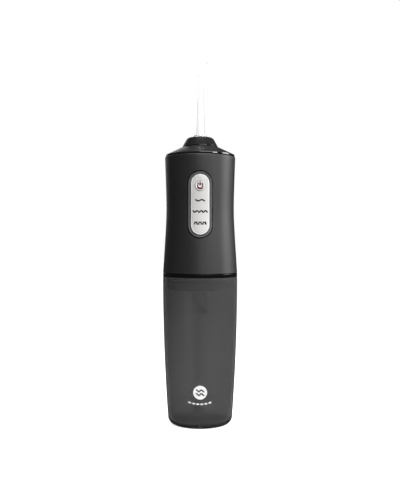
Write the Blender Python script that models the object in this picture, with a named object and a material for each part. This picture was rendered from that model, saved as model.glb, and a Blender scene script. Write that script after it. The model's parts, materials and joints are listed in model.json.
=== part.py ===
"""Cordless water flosser, modelled as an assembly of separate pieces.

Sizes are in millimetres in the object's own frame, and become metres as each mesh is made.
The origin is the centre of the tank's flat base, +Z is up and the control panel faces -Y.
"""
import math

import bmesh
import bpy
from mathutils import Matrix, Vector

MM = 0.001
GAP = 0.3             # clearance between pieces that touch
BORE_GAP = 0.35       # clearance all round in a round bore
SHELL_STEPS = 32      # facets round the large shells

# Heights of the outer shells
TANK_TOP = 115.8
BAND_BOTTOM = TANK_TOP + GAP
BAND_TOP = 119.0
HOUSING_BOTTOM = BAND_TOP + GAP
HOUSING_TOP = 211.4
CAP_BOTTOM = HOUSING_TOP + GAP
CAP_LIP = 1.3         # height of the cap's upright edge
CAP_TOP = 219.3
COLLAR_BOTTOM = CAP_TOP + GAP
COLLAR_TOP = 227.3

# Radii of the outer shells
SHELL_RADIUS = 29.6   # widest, at the tank's mouth and the foot of the housing
TANK_TAPER = 4.4      # how much narrower the tank is at its base
TANK_WALL = 1.8
TANK_FLOOR = 3.0
TANK_CORNER = 5.0
WAIST_RADIUS = 26.93
WAIST_HEIGHT = 170.0
WAIST_RISE = 1.17     # how much wider the housing is at its top than at its waist
WAIST_BEND = 12.0     # height over which the waist turns into a straight flare
HOUSING_WALL = 1.9
CAP_RADIUS = 27.5
NECK_RADIUS = 14.15   # cap and collar meet here
COLLAR_RADIUS = 10.75

# Filling door, on the rear of the tank
DOOR_WIDTH = 15.0
DOOR_HEIGHT = 17.0
DOOR_CORNER = 3.5
DOOR_MIDDLE = 94.0
DOOR_GAP = 0.5
DOOR_WALL = 1.5
KNUCKLE_RADIUS = 1.4
PIN_RADIUS = 0.6

# Control panel, on the front of the housing
PANEL_WIDTH = 14.1
PANEL_HEIGHT = 46.2
PANEL_MIDDLE = 172.4
BEZEL_WIDTH = 18.8
BEZEL_HEIGHT = 51.6
BUTTON_RADIUS = 3.65
BUTTON_HEIGHT = 186.5
MODE_HEIGHTS = (175.0, 166.5, 157.5)
BOARD_FRONT = -21.0
BOARD_SCREW_HEIGHTS = (151.0, 163.0)

# Charging port, on the rear of the housing
PORT_HEIGHT = 140.0
PORT_WIDTH = 11.4
PORT_TALL = 6.4

# Drive: a vertical motor turns a face gear, whose crank pin works the plunger
MOTOR_X = 9.2
MOTOR_Y = 3.0
MOTOR_RADIUS = 12.0
MOTOR_BOTTOM = 171.0
MOTOR_TOP = 197.5
GEAR_MODULE = 0.8
GEAR_TEETH = 24
PINION_TEETH = 8
GEAR_HEIGHT = 157.5
GEAR_FACE = MOTOR_Y + GEAR_MODULE * PINION_TEETH / 2      # pitch plane of the gear's teeth
GEAR_BACK = GEAR_FACE + 3.5
CRANK_THROW = 2.0
CRANK_RADIUS = 1.1
YOKE_FRONT = GEAR_BACK + 0.5
YOKE_THICKNESS = 2.2
PUMP_Y = YOKE_FRONT + YOKE_THICKNESS / 2
PUMP_BOTTOM = 109.4
PUMP_TOP = 142.3
PUMP_RADIUS = 6.5
PUMP_BORE = 4.5
DECK = 1.8            # thickness of the chassis walls
LOWER_DECK = PUMP_TOP + GAP
UPPER_DECK = MOTOR_BOTTOM - GAP - DECK
CHASSIS_FRONT = -4.5
CHASSIS_BACK = 14.0
CHASSIS_LEFT = -2.6
CHASSIS_RIGHT = 19.0

# Water path
PICKUP = (-2.0, 0.0)
PICKUP_RADIUS = 2.5
DELIVERY = (-4.0, 20.0)
DELIVERY_RADIUS = 2.0
INLET_HEIGHT = 206.0  # where the delivery tube enters the nozzle socket
STEM_RADIUS = 2.2

# Jet tip: heights along its straight part, and the bend towards its point
FLANGE_BOTTOM = 222.6
FLANGE_TOP = 229.6
TIP_BEND = 274.5
TIP_BEND_RADIUS = 9.0
TIP_LEAN = math.radians(27)
TIP_BORE = 0.7
POINT_LENGTH = 9.5    # straight part past the bend

BATTERY = (-13.0, 3.0)
BATTERY_RADIUS = 9.2

# Nozzle release button, on the cap's rear slope
CAP_SLOPE = math.atan2(CAP_TOP - CAP_BOTTOM - CAP_LIP, CAP_RADIUS - NECK_RADIUS)
RELEASE_RADIUS = 20.6  # how far behind the axis it sits

FRONT = -1
REAR = 1


def clear_scene():
    for item in list(bpy.data.objects):
        bpy.data.objects.remove(item, do_unlink=True)


def material(name, colour, roughness, metallic=0.0, transmission=0.0):
    """A Principled material, made once for each name."""
    look = bpy.data.materials.get(name)
    if look is None:
        look = bpy.data.materials.new(name)
        look.use_nodes = True
        shader = look.node_tree.nodes["Principled BSDF"]
        shader.inputs["Base Color"].default_value = (*colour, 1.0)
        shader.inputs["Roughness"].default_value = roughness
        shader.inputs["Metallic"].default_value = metallic
        shader.inputs["Transmission Weight"].default_value = transmission
    return look


def smoke_plastic():
    return material("smoke_plastic", (0.055, 0.055, 0.058), 0.12, transmission=0.6)


def soft_black():
    return material("soft_black", (0.022, 0.021, 0.021), 0.5)


def gloss_black():
    return material("gloss_black", (0.012, 0.012, 0.013), 0.12)


def silver_grey():
    return material("silver_grey", (0.62, 0.62, 0.64), 0.35, metallic=0.3)


def white_plastic():
    return material("white_plastic", (0.82, 0.82, 0.82), 0.3)


def clear_plastic():
    return material("clear_plastic", (0.9, 0.92, 0.93), 0.05, transmission=0.95)


def black_rubber():
    return material("black_rubber", (0.02, 0.02, 0.02), 0.75)


def steel():
    return material("steel", (0.55, 0.55, 0.56), 0.3, metallic=1.0)


def brass():
    return material("brass", (0.6, 0.44, 0.18), 0.3, metallic=1.0)


def nylon():
    return material("nylon", (0.75, 0.74, 0.7), 0.45)


def grey_abs():
    return material("grey_abs", (0.22, 0.23, 0.24), 0.5)


def board_green():
    return material("board_green", (0.02, 0.16, 0.06), 0.4)


def cell_wrap():
    return material("cell_wrap", (0.05, 0.2, 0.42), 0.35)


def tank_radius(z):
    """The tank is widest at its mouth and narrows in a parabola towards its base."""
    fall = max(0.0, (114.0 - z) / 114.0)
    return SHELL_RADIUS - TANK_TAPER * fall * fall


def flare(height):
    """Height of a hyperbola that is flat at the waist and straight further away."""
    return math.sqrt(1 + (height / WAIST_BEND) ** 2) - 1


def housing_radius(z):
    if z < WAIST_HEIGHT:
        end, rise = HOUSING_BOTTOM, SHELL_RADIUS - WAIST_RADIUS
    else:
        end, rise = HOUSING_TOP, WAIST_RISE
    return WAIST_RADIUS + rise * flare(z - WAIST_HEIGHT) / flare(end - WAIST_HEIGHT)


def spread(start, end, count):
    """Evenly spaced values from start to end, both included."""
    return [start + (end - start) * i / (count - 1) for i in range(count)]


def arc(centre, radius, start, end, count=5):
    """Points of an arc, with its angles in degrees."""
    angles = [math.radians(a) for a in spread(start, end, count)]
    return [(centre[0] + radius * math.cos(a), centre[1] + radius * math.sin(a)) for a in angles]


def rounded_rectangle(width, height, corner, middle=0.0, count=4):
    """A closed outline in (x, z), with round corners."""
    across, up = width / 2 - corner, height / 2 - corner
    points = []
    for turn, (sx, sz) in enumerate(((1, 1), (-1, 1), (-1, -1), (1, -1))):
        points += arc((sx * across, middle + sz * up), corner, 90 * turn, 90 * turn + 90, count)
    return points


def stadium(width, height, middle, count=5):
    """A rounded rectangle whose shorter sides are half circles."""
    return rounded_rectangle(width, height, min(width, height) / 2 - 0.01, middle, count)


def capsule(start, end, radius, count=9):
    """Outline of a bar with round ends, from one (x, y) point to another."""
    heading = math.degrees(math.atan2(end[1] - start[1], end[0] - start[0]))
    return (arc(end, radius, heading - 90, heading + 90, count)
            + arc(start, radius, heading + 90, heading + 270, count))


def make_object(name, shape, look):
    """Close off a bmesh in millimetres as an object in metres."""
    bmesh.ops.remove_doubles(shape, verts=shape.verts, dist=0.001)
    bmesh.ops.recalc_face_normals(shape, faces=shape.faces)
    bmesh.ops.scale(shape, vec=(MM, MM, MM), verts=shape.verts)
    mesh = bpy.data.meshes.new(name)
    shape.to_mesh(mesh)
    shape.free()
    mesh.shade_smooth()
    mesh.set_sharp_from_angle(angle=math.radians(35))
    mesh.materials.append(look)
    piece = bpy.data.objects.new(name, mesh)
    bpy.context.collection.objects.link(piece)
    return piece


def turned(name, outline, look, centre=(0.0, 0.0), steps=20):
    """Turn an (r, z) outline round a vertical axis; one that leaves the axis is a loop."""
    shape = bmesh.new()
    points = [shape.verts.new((r, 0, z)) for r, z in outline]
    edges = [shape.edges.new(pair) for pair in zip(points, points[1:])]
    if outline[0][0] > 0:
        edges.append(shape.edges.new((points[-1], points[0])))
    bmesh.ops.spin(shape, geom=points + edges, cent=(0, 0, 0), axis=(0, 0, 1),
                   angle=math.tau, steps=steps, use_merge=True)
    bmesh.ops.translate(shape, vec=(*centre, 0), verts=shape.verts)
    return make_object(name, shape, look)


def turned_along(name, outline, look, start, direction, steps=12):
    """Turn an (r, distance) outline round an axis that leaves start in any direction."""
    piece = turned(name, outline, look, steps=steps)
    turn = Vector((0, 0, 1)).rotation_difference(Vector(direction)).to_matrix().to_4x4()
    piece.data.transform(Matrix.Translation(Vector(start) * MM) @ turn)
    return piece


def rod(name, radius, start, end, look, chamfer=0.0, steps=12):
    """A round bar between two points."""
    path = Vector(end) - Vector(start)
    long = path.length
    if chamfer:
        outline = [(0, 0), (radius - chamfer, 0), (radius, chamfer), (radius, long - chamfer),
                   (radius - chamfer, long), (0, long)]
    else:
        outline = [(0, 0), (radius, 0), (radius, long), (0, long)]
    return turned_along(name, outline, look, start, path, steps)


def torus(name, radius, section, z, look, centre=(0.0, 0.0), steps=24):
    """A sealing ring: its section is a circle."""
    return turned(name, arc((radius, z), section, 0, 300, 6), look, centre, steps)


def extruded(name, outline, start, end, look, plane="XY"):
    """Extrude an outline along the axis that its plane leaves out."""
    places = {"XY": lambda a, b, t: (a, b, t), "XZ": lambda a, b, t: (a, t, b),
              "YZ": lambda a, b, t: (t, a, b)}
    shape = bmesh.new()
    loops = []
    for level in (start, end):
        loops.append([shape.verts.new(places[plane](a, b, level)) for a, b in outline])
        shape.faces.new(loops[-1])
    for low, high in ((i, (i + 1) % len(outline)) for i in range(len(outline))):
        shape.faces.new((loops[0][low], loops[0][high], loops[1][high], loops[1][low]))
    return make_object(name, shape, look)


def block(name, low, high, look):
    """A box between two corners."""
    outline = [(low[0], low[1]), (high[0], low[1]), (high[0], high[1]), (low[0], high[1])]
    return extruded(name, outline, low[2], high[2], look)


def wrapped(name, rings, radius_at, outer, inner, look, side=FRONT, filled=True):
    """A plate bent round a shell: rings are (x, z) outlines, from the edge inwards.

    outer and inner are how far its two faces lie outside the shell's own radius.
    """
    def point(x, z, offset):
        return (x, side * math.sqrt((radius_at(z) + offset) ** 2 - x * x), z)

    shape = bmesh.new()
    faces = []
    for offset in (outer, inner):
        loops = [[shape.verts.new(point(x, z, offset)) for x, z in ring] for ring in rings]
        for wide, narrow in zip(loops, loops[1:]):
            bridge(shape, wide, narrow)
        if filled:
            middle = sum(z for _, z in rings[-1]) / len(rings[-1])
            hub = shape.verts.new(point(0, middle, offset))
            for i, vert in enumerate(loops[-1]):
                shape.faces.new((vert, loops[-1][i - 1], hub))
        faces.append(loops)
    bridge(shape, faces[0][0], faces[1][0])
    if not filled:
        bridge(shape, faces[0][-1], faces[1][-1])
    return make_object(name, shape, look)


def bridge(shape, first, second):
    """Join two rings of equal count with a band of quads."""
    for i in range(len(first)):
        shape.faces.new((first[i - 1], first[i], second[i], second[i - 1]))


def shrunk(outline, middle, factors):
    """Copies of an outline drawn towards its middle height."""
    return [[(x * f, middle + (z - middle) * f) for x, z in outline] for f in factors]


def tube(name, path, radii, bore, look, steps=12):
    """Sweep a hollow round section along a path of points, with a radius for each point."""
    path = [Vector(p) for p in path]
    aims = [(path[min(i + 1, len(path) - 1)] - path[max(i - 1, 0)]).normalized()
            for i in range(len(path))]
    across = aims[0].orthogonal().normalized()
    shape = bmesh.new()
    outside, inside = [], []
    for spot, aim, radius in zip(path, aims, radii):
        across = (across - aim * across.dot(aim)).normalized()
        up = aim.cross(across)
        turns = [math.tau * i / steps for i in range(steps)]
        spokes = [across * math.cos(t) + up * math.sin(t) for t in turns]
        outside.append([shape.verts.new(spot + s * radius) for s in spokes])
        inside.append([shape.verts.new(spot + s * bore) for s in spokes])
    for wall in (outside, inside):
        for first, second in zip(wall, wall[1:]):
            bridge(shape, first, second)
    bridge(shape, outside[0], inside[0])
    bridge(shape, outside[-1], inside[-1])
    return make_object(name, shape, look)


def combine(target, tool, operation):
    """Cut or join with a Boolean whose tool stays hidden."""
    change = target.modifiers.new(tool.name, "BOOLEAN")
    change.operation = operation
    change.object = tool
    tool.hide_render = True
    tool.display_type = "WIRE"


def cut(target, tool):
    combine(target, tool, "DIFFERENCE")


def join(target, tool):
    combine(target, tool, "UNION")


def drill(target, name, radius, start, end, steps=12):
    """Bore a round hole between two points."""
    cut(target, rod(name, radius, start, end, target.data.materials[0], steps=steps))


def set_origin(piece, point):
    """Move a piece's origin without moving its shape."""
    place = Vector(point) * MM
    piece.data.transform(Matrix.Translation(-place))
    piece.location = place


def body(name, point, pieces, parent=None):
    """An empty on the joint's axis that carries the pieces which move together."""
    pivot = bpy.data.objects.new(name + "_pivot", None)
    pivot.location = Vector(point) * MM
    pivot.empty_display_size = 5 * MM
    bpy.context.collection.objects.link(pivot)
    bpy.context.view_layer.update()
    for piece in pieces:
        set_origin(piece, point)
        piece.parent = pivot
        piece.matrix_parent_inverse = pivot.matrix_world.inverted()
    if parent is not None:
        pivot.parent = parent
        pivot.matrix_parent_inverse = parent.matrix_world.inverted()
    return pivot


def screw(name, head, direction, long):
    """A pan-head screw: head is where the underside of its head sits."""
    outline = [(0, -1.2), (1.3, -1.2), (1.8, -0.7), (1.8, 0), (1.0, 0), (1.0, long - 0.6),
               (0.5, long), (0, long)]
    return turned_along(name, outline, steel(), head, direction, steps=8)


# ---- Tank -------------------------------------------------------------------------------

def make_tank():
    """An open cup with round base corners, a filling hole and two hinge lugs behind."""
    heights = spread(TANK_CORNER, TANK_TOP, 6)
    base_radius = tank_radius(TANK_CORNER) - TANK_CORNER
    corner = arc((base_radius, TANK_CORNER), TANK_CORNER, -90, 0, 4)
    outside = [(tank_radius(z), z) for z in heights[1:]]
    inside = [(r - TANK_WALL, z) for r, z in outside[::-2]]
    inner_corner = arc((base_radius, TANK_CORNER + TANK_FLOOR - TANK_WALL),
                       TANK_CORNER - TANK_WALL, 0, -90, 3)
    outline = [(0, 0)] + corner + outside + inside + inner_corner + [(0, TANK_FLOOR)]
    tank = turned("tank", outline, smoke_plastic(), steps=SHELL_STEPS)
    hole = rounded_rectangle(DOOR_WIDTH, DOOR_HEIGHT, DOOR_CORNER, DOOR_MIDDLE)
    cut(tank, extruded("filling_hole", hole, 20, 40, smoke_plastic(), "XZ"))
    axis_y, axis_z = door_axis()
    for side in (-1, 1):
        lug = rod("lug", KNUCKLE_RADIUS, (side * 4.4, axis_y, axis_z), (side * 6.4, axis_y, axis_z),
                  smoke_plastic())
        low, high = sorted((side * 4.4, side * 6.4))
        web = block("lug_web", (low, axis_y - 3.4, axis_z - 1.2), (high, axis_y, axis_z + 0.6),
                    smoke_plastic())
        join(tank, lug)
        join(tank, web)
    drill(tank, "pin_hole", PIN_RADIUS + GAP, (-7, axis_y, axis_z), (7, axis_y, axis_z))
    return tank


def door_axis():
    """Where the filling door's pin lies, just outside the tank and below the door."""
    foot = DOOR_MIDDLE - DOOR_HEIGHT / 2
    return tank_radius(foot) + KNUCKLE_RADIUS + BORE_GAP, foot - 0.8


def make_fill_door():
    """A bent plate with a knuckle at its foot, a ring seal behind it, and their pin."""
    width, height = DOOR_WIDTH - 2 * DOOR_GAP, DOOR_HEIGHT - 2 * DOOR_GAP
    edge = rounded_rectangle(width, height, DOOR_CORNER - DOOR_GAP, DOOR_MIDDLE)
    rings = shrunk(edge, DOOR_MIDDLE, (1.0, 0.66, 0.33))
    door = wrapped("fill_door", rings, tank_radius, 0, -DOOR_WALL, smoke_plastic(), REAR)
    axis_y, axis_z = door_axis()
    hinge = rod("knuckle", KNUCKLE_RADIUS, (-4, axis_y, axis_z), (4, axis_y, axis_z), smoke_plastic())
    strap = block("knuckle_strap", (-3.6, axis_y - 1.3, axis_z), (3.6, axis_y + 0.6, axis_z + 4.2),
                  smoke_plastic())
    root = block("strap_root", (-3.2, axis_y - 2.8, axis_z + 2.2), (3.2, axis_y, axis_z + 3.9),
                 smoke_plastic())
    for tool in (hinge, strap, root):
        join(door, tool)
    drill(door, "knuckle_bore", PIN_RADIUS + GAP, (-7, axis_y, axis_z), (7, axis_y, axis_z))
    lip = rounded_rectangle(2.6, 1.6, 0.7, DOOR_MIDDLE + height / 2 - 2.2)
    thumb_lip = extruded("thumb_lip", [(x * 3.0, z) for x, z in lip], axis_y - 2.8, axis_y - 0.6,
                         smoke_plastic(), "XZ")
    join(door, thumb_lip)
    seal_edge = rounded_rectangle(width - 2.4, height - 2.4, 2.2, DOOR_MIDDLE)
    seal_rings = shrunk(seal_edge, DOOR_MIDDLE, (1.0, 0.8))
    seal = wrapped("fill_door_seal", seal_rings, tank_radius, -DOOR_WALL - GAP, -DOOR_WALL - 1.3,
                   smoke_plastic(), REAR, filled=False)
    pin = rod("fill_door_pin", PIN_RADIUS, (-6.2, axis_y, axis_z), (6.2, axis_y, axis_z), steel(), 0.15,
              steps=12)
    return door, seal, pin


# ---- Shells of the handle -----------------------------------------------------------------

def make_lower_plug():
    """The gloss band between tank and housing, with a spigot into each of them."""
    spigot, groove = 26.2, 25.5
    outline = [(0, 106), (spigot - 0.8, 106), (spigot, 106.8), (spigot, 109.9), (groove, 109.9),
               (groove, 112.3), (spigot, 112.3), (spigot, BAND_BOTTOM),
               (SHELL_RADIUS - 0.2, BAND_BOTTOM), (SHELL_RADIUS - 0.05, BAND_BOTTOM + 0.2),
               (SHELL_RADIUS - 0.05, BAND_TOP - 0.2), (SHELL_RADIUS - 0.2, BAND_TOP),
               (26.6, BAND_TOP), (26.6, 124), (24.8, 124), (24.8, 109), (0, 109)]
    plug = turned("lower_plug", outline, gloss_black(), steps=SHELL_STEPS)
    drill(plug, "pickup_hole", PICKUP_RADIUS + GAP, (*PICKUP, 100), (*PICKUP, 115))
    seal = torus("tank_seal", 26.6, 0.8, 111.1, black_rubber())
    return plug, seal


def make_housing():
    """The waisted sleeve, with its openings for the panel and the charging port."""
    heights = spread(HOUSING_BOTTOM, HOUSING_TOP - 0.8, 8)
    outside = [(housing_radius(z), z) for z in heights]
    rim = outside[-1][0]
    outside += arc((rim - 0.8, HOUSING_TOP - 0.8), 0.8, 40, 90, 2)
    inside = [(housing_radius(z) - HOUSING_WALL, z) for z in spread(HOUSING_TOP, HOUSING_BOTTOM, 5)]
    housing = turned("housing", outside + inside, soft_black(), steps=SHELL_STEPS)
    frame = stadium(BEZEL_WIDTH + 2 * GAP, BEZEL_HEIGHT + 2 * GAP, PANEL_MIDDLE)
    cut(housing, extruded("panel_opening", frame, -40, -15, soft_black(), "XZ"))
    port = rounded_rectangle(PORT_WIDTH, PORT_TALL, 1.6, PORT_HEIGHT)
    cut(housing, extruded("port_opening", port, 15, 40, soft_black(), "XZ"))
    x, y = cover_axis()
    drill(housing, "cover_notch", 1.2, (x, y, PORT_HEIGHT - 2.3), (x, y, PORT_HEIGHT + 2.3))
    return housing


def make_top_cap():
    """The gloss flare, with a spigot into the housing and a neck that the collar turns on."""
    spigot, groove, inner = 25.6, 24.5, 23.4
    outline = [(CAP_RADIUS - 0.2, CAP_BOTTOM), (CAP_RADIUS, CAP_BOTTOM + 0.2),
               (CAP_RADIUS, CAP_BOTTOM + CAP_LIP), (NECK_RADIUS + 0.3, CAP_TOP), (8.6, CAP_TOP),
               (8.6, 223.0), (6.0, 223.0), (6.0, 214.4), (12.0, 214.4), (inner, 210.0),
               (inner, 205.5), (spigot, 205.5), (spigot, 207.6), (groove, 207.6),
               (groove, 209.2), (spigot, 209.2), (spigot, CAP_BOTTOM)]
    cap = turned("top_cap", outline, gloss_black(), steps=SHELL_STEPS)
    centre, aim = release_axis()
    drill(cap, "release_hole", 3.3 + BORE_GAP, centre - 12 * aim, centre + 12 * aim, steps=20)
    seal = torus("cap_seal", 25.3, 0.5, 208.4, black_rubber())
    return cap, seal


# ---- Control panel -------------------------------------------------------------------------

def make_panel():
    """The recessed bezel, the panel in it, the power button and what lies behind them."""
    outer = stadium(BEZEL_WIDTH, BEZEL_HEIGHT, PANEL_MIDDLE)
    inner = stadium(PANEL_WIDTH + 2 * GAP, PANEL_HEIGHT + 2 * GAP, PANEL_MIDDLE)
    bezel = wrapped("panel_bezel", [outer, inner], housing_radius, -0.5, -3.0, grey_abs(),
                    filled=False)
    edge = stadium(PANEL_WIDTH, PANEL_HEIGHT, PANEL_MIDDLE)
    panel = wrapped("control_panel", shrunk(edge, PANEL_MIDDLE, (1.0, 0.7, 0.35)),
                    housing_radius, -0.1, -2.2, silver_grey())
    drill(panel, "button_hole", BUTTON_RADIUS + BORE_GAP, (0, -40, BUTTON_HEIGHT),
          (0, -15, BUTTON_HEIGHT), steps=24)
    front = -housing_radius(BUTTON_HEIGHT) - 0.3
    outline = [(0, 0), (BUTTON_RADIUS - 0.4, 0), (BUTTON_RADIUS, 0.4), (BUTTON_RADIUS, 3.4),
               (BUTTON_RADIUS + 1.0, 3.4), (BUTTON_RADIUS + 1.0, 3.9), (1.3, 3.9), (1.3, 4.5), (0, 4.5)]
    button = turned_along("power_button", outline, white_plastic(), (0, front, BUTTON_HEIGHT),
                          (0, 1, 0), steps=24)
    board = block("circuit_board", (-8, BOARD_FRONT, 147), (8, BOARD_FRONT + 1.6, 198), board_green())
    base = BOARD_FRONT - GAP
    switch = block("tactile_switch", (-2.2, base - 0.7, BUTTON_HEIGHT - 2.2),
                   (2.2, base, BUTTON_HEIGHT + 2.2), steel())
    lights = [block(f"mode_led_{i + 1}", (-1.0, base - 0.6, z - 0.6), (1.0, base, z + 0.6),
                    white_plastic()) for i, z in enumerate(MODE_HEIGHTS)]
    screws = []
    for i, z in enumerate(BOARD_SCREW_HEIGHTS):
        drill(board, "board_hole", 1.0 + GAP, (5, -30, z), (5, -10, z), steps=12)
        screws.append(screw(f"board_screw_{i + 1}", (5, base, z), (0, 1, 0), 6))
    return [bezel, panel, board, switch, *lights, *screws], button


# ---- Charging port --------------------------------------------------------------------------

def cover_axis():
    """Where the port cover's barrel stands, sunk in the housing beside the port."""
    x = -PORT_WIDTH / 2 - 0.9
    return x, math.sqrt(housing_radius(PORT_HEIGHT) ** 2 - x * x) - 0.1


def make_charge_port():
    """A socket block, and a bent rubber flap with a barrel at its side."""
    socket = block("charge_socket", (-4.4, 22.6, PORT_HEIGHT - 2.4), (4.4, 25.5, PORT_HEIGHT + 2.4),
                   steel())
    slot = stadium(6.6, 2.4, PORT_HEIGHT)
    cut(socket, extruded("socket_slot", slot, 23.4, 27, steel(), "XZ"))
    edge = rounded_rectangle(PORT_WIDTH - 0.8, PORT_TALL - 0.8, 1.2, PORT_HEIGHT)
    cover = wrapped("charge_port_cover", shrunk(edge, PORT_HEIGHT, (1.0, 0.6, 0.3)), housing_radius,
                    0, -1.6, black_rubber(), REAR)
    x, y = cover_axis()
    barrel = rod("barrel", 0.85, (x, y, PORT_HEIGHT - 1.7), (x, y, PORT_HEIGHT + 1.7), black_rubber())
    strap = block("cover_strap", (x, y + 0.15, PORT_HEIGHT - 1.2), (x + 3.2, y + 0.8, PORT_HEIGHT + 1.2),
                  black_rubber())
    join(cover, strap)
    join(cover, barrel)
    return socket, cover


# ---- Battery, motor and gears -----------------------------------------------------------------

def make_battery():
    top = 190.0
    outline = [(0, 125), (BATTERY_RADIUS - 0.6, 125), (BATTERY_RADIUS, 125.6),
               (BATTERY_RADIUS, top - 3.4), (BATTERY_RADIUS - 0.4, top - 3), (BATTERY_RADIUS, top - 2.6),
               (BATTERY_RADIUS, top - 0.6), (BATTERY_RADIUS - 0.6, top), (3.0, top), (3.0, top + 1),
               (0, top + 1)]
    return turned("battery_cell", outline, cell_wrap(), BATTERY, steps=24)


def motor_screw_spots():
    return [(MOTOR_X + side * 8.3, MOTOR_Y) for side in (-1, 1)]


def pump_screw_spots():
    return [(MOTOR_X + side * 7.7, PUMP_Y) for side in (-1, 1)]


def make_chassis():
    """A channel with a deck under the motor, a deck over the pump and a wall for the axle."""
    front, back = CHASSIS_FRONT, CHASSIS_BACK
    low, high = LOWER_DECK, UPPER_DECK + DECK
    channel = [(front, low), (back, low), (back, low + DECK), (front + 2, low + DECK),
               (front + 2, UPPER_DECK), (back, UPPER_DECK), (back, high), (front, high)]
    chassis = extruded("chassis", channel, CHASSIS_LEFT, CHASSIS_RIGHT, grey_abs(), "YZ")
    deep = front + 1 - (BOARD_FRONT + 1.6 + GAP)
    post = [(0, 6.6), (1.3, 6.6), (1.3, 0), (2.2, 0), (2.2, deep), (0, deep)]
    for z in BOARD_SCREW_HEIGHTS:
        join(chassis, turned_along("board_post", post, grey_abs(), (5, front + 1 - deep, z), (0, 1, 0)))
    drill(chassis, "shaft_hole", 4.6, (MOTOR_X, MOTOR_Y, UPPER_DECK - 1), (MOTOR_X, MOTOR_Y, high + 1))
    drill(chassis, "rod_hole", 2.4, (MOTOR_X, PUMP_Y, low - 1), (MOTOR_X, PUMP_Y, low + DECK + 1))
    drill(chassis, "axle_hole", 1.25 + GAP, (MOTOR_X, front - 1, GEAR_HEIGHT),
          (MOTOR_X, front + 3, GEAR_HEIGHT), steps=12)
    for spot in motor_screw_spots():
        drill(chassis, "motor_screw_hole", 1.0 + GAP, (*spot, UPPER_DECK - 1), (*spot, high + 1), 12)
    for spot in pump_screw_spots():
        drill(chassis, "pump_screw_hole", 1.0 + GAP, (*spot, low - 1), (*spot, low + DECK + 1), 12)
    return chassis


def make_motor():
    """The motor's can with its end cap, and the screws that hold it to the chassis."""
    centre = (MOTOR_X, MOTOR_Y)
    can_outline = [(1.4, MOTOR_BOTTOM), (11.2, MOTOR_BOTTOM), (MOTOR_RADIUS, MOTOR_BOTTOM + 0.8),
                   (MOTOR_RADIUS, MOTOR_TOP), (10.8, MOTOR_TOP), (10.8, MOTOR_BOTTOM + 8),
                   (1.4, MOTOR_BOTTOM + 8)]
    can = turned("motor_can", can_outline, steel(), centre, steps=24)
    cap_outline = [(1.4, MOTOR_TOP - 3), (10.4, MOTOR_TOP - 3), (10.4, MOTOR_TOP + GAP),
                   (MOTOR_RADIUS, MOTOR_TOP + GAP), (MOTOR_RADIUS - 0.5, MOTOR_TOP + 2.3),
                   (4.0, MOTOR_TOP + 2.3), (4.0, MOTOR_TOP + 3.8), (1.4, MOTOR_TOP + 3.8)]
    end_cap = turned("motor_end_cap", cap_outline, nylon(), centre, steps=24)
    screws = []
    for i, spot in enumerate(motor_screw_spots()):
        drill(can, "can_thread", 1.0 + GAP, (*spot, MOTOR_BOTTOM - 1), (*spot, MOTOR_BOTTOM + 4.4), 12)
        screws.append(screw(f"motor_screw_{i + 1}", (*spot, UPPER_DECK - GAP), (0, 0, 1), 6))
    return [can, end_cap, *screws]


def make_rotor():
    """The motor's shaft with its armature, and the pinion on the shaft's lower end."""
    foot = GEAR_HEIGHT + 8.2
    outline = [(0, foot), (1.0, foot), (1.0, MOTOR_BOTTOM + 9), (8.6, MOTOR_BOTTOM + 9),
               (8.6, MOTOR_TOP - 4), (1.0, MOTOR_TOP - 4), (1.0, MOTOR_TOP + 4.5), (0, MOTOR_TOP + 4.5)]
    shaft = turned("motor_shaft", outline, steel(), (MOTOR_X, MOTOR_Y), steps=20)
    pitch = GEAR_MODULE * PINION_TEETH / 2
    root, tip = pitch - 0.9, pitch + 0.5
    outline = []
    for tooth in range(PINION_TEETH):
        middle = math.tau * (tooth + 0.5) / PINION_TEETH - math.pi / 2
        for radius, half in ((root, 0.42), (tip, 0.24), (tip, -0.24), (root, -0.42)):
            turn = middle - math.asin(half / radius)
            outline.append((MOTOR_X + radius * math.cos(turn), MOTOR_Y + radius * math.sin(turn)))
    pinion = extruded("pinion", outline, GEAR_HEIGHT + 8.5, GEAR_HEIGHT + 10.6, brass())
    drill(pinion, "pinion_bore", 1.0 + GAP, (MOTOR_X, MOTOR_Y, 160), (MOTOR_X, MOTOR_Y, 172), steps=12)
    return shaft, pinion


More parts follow.
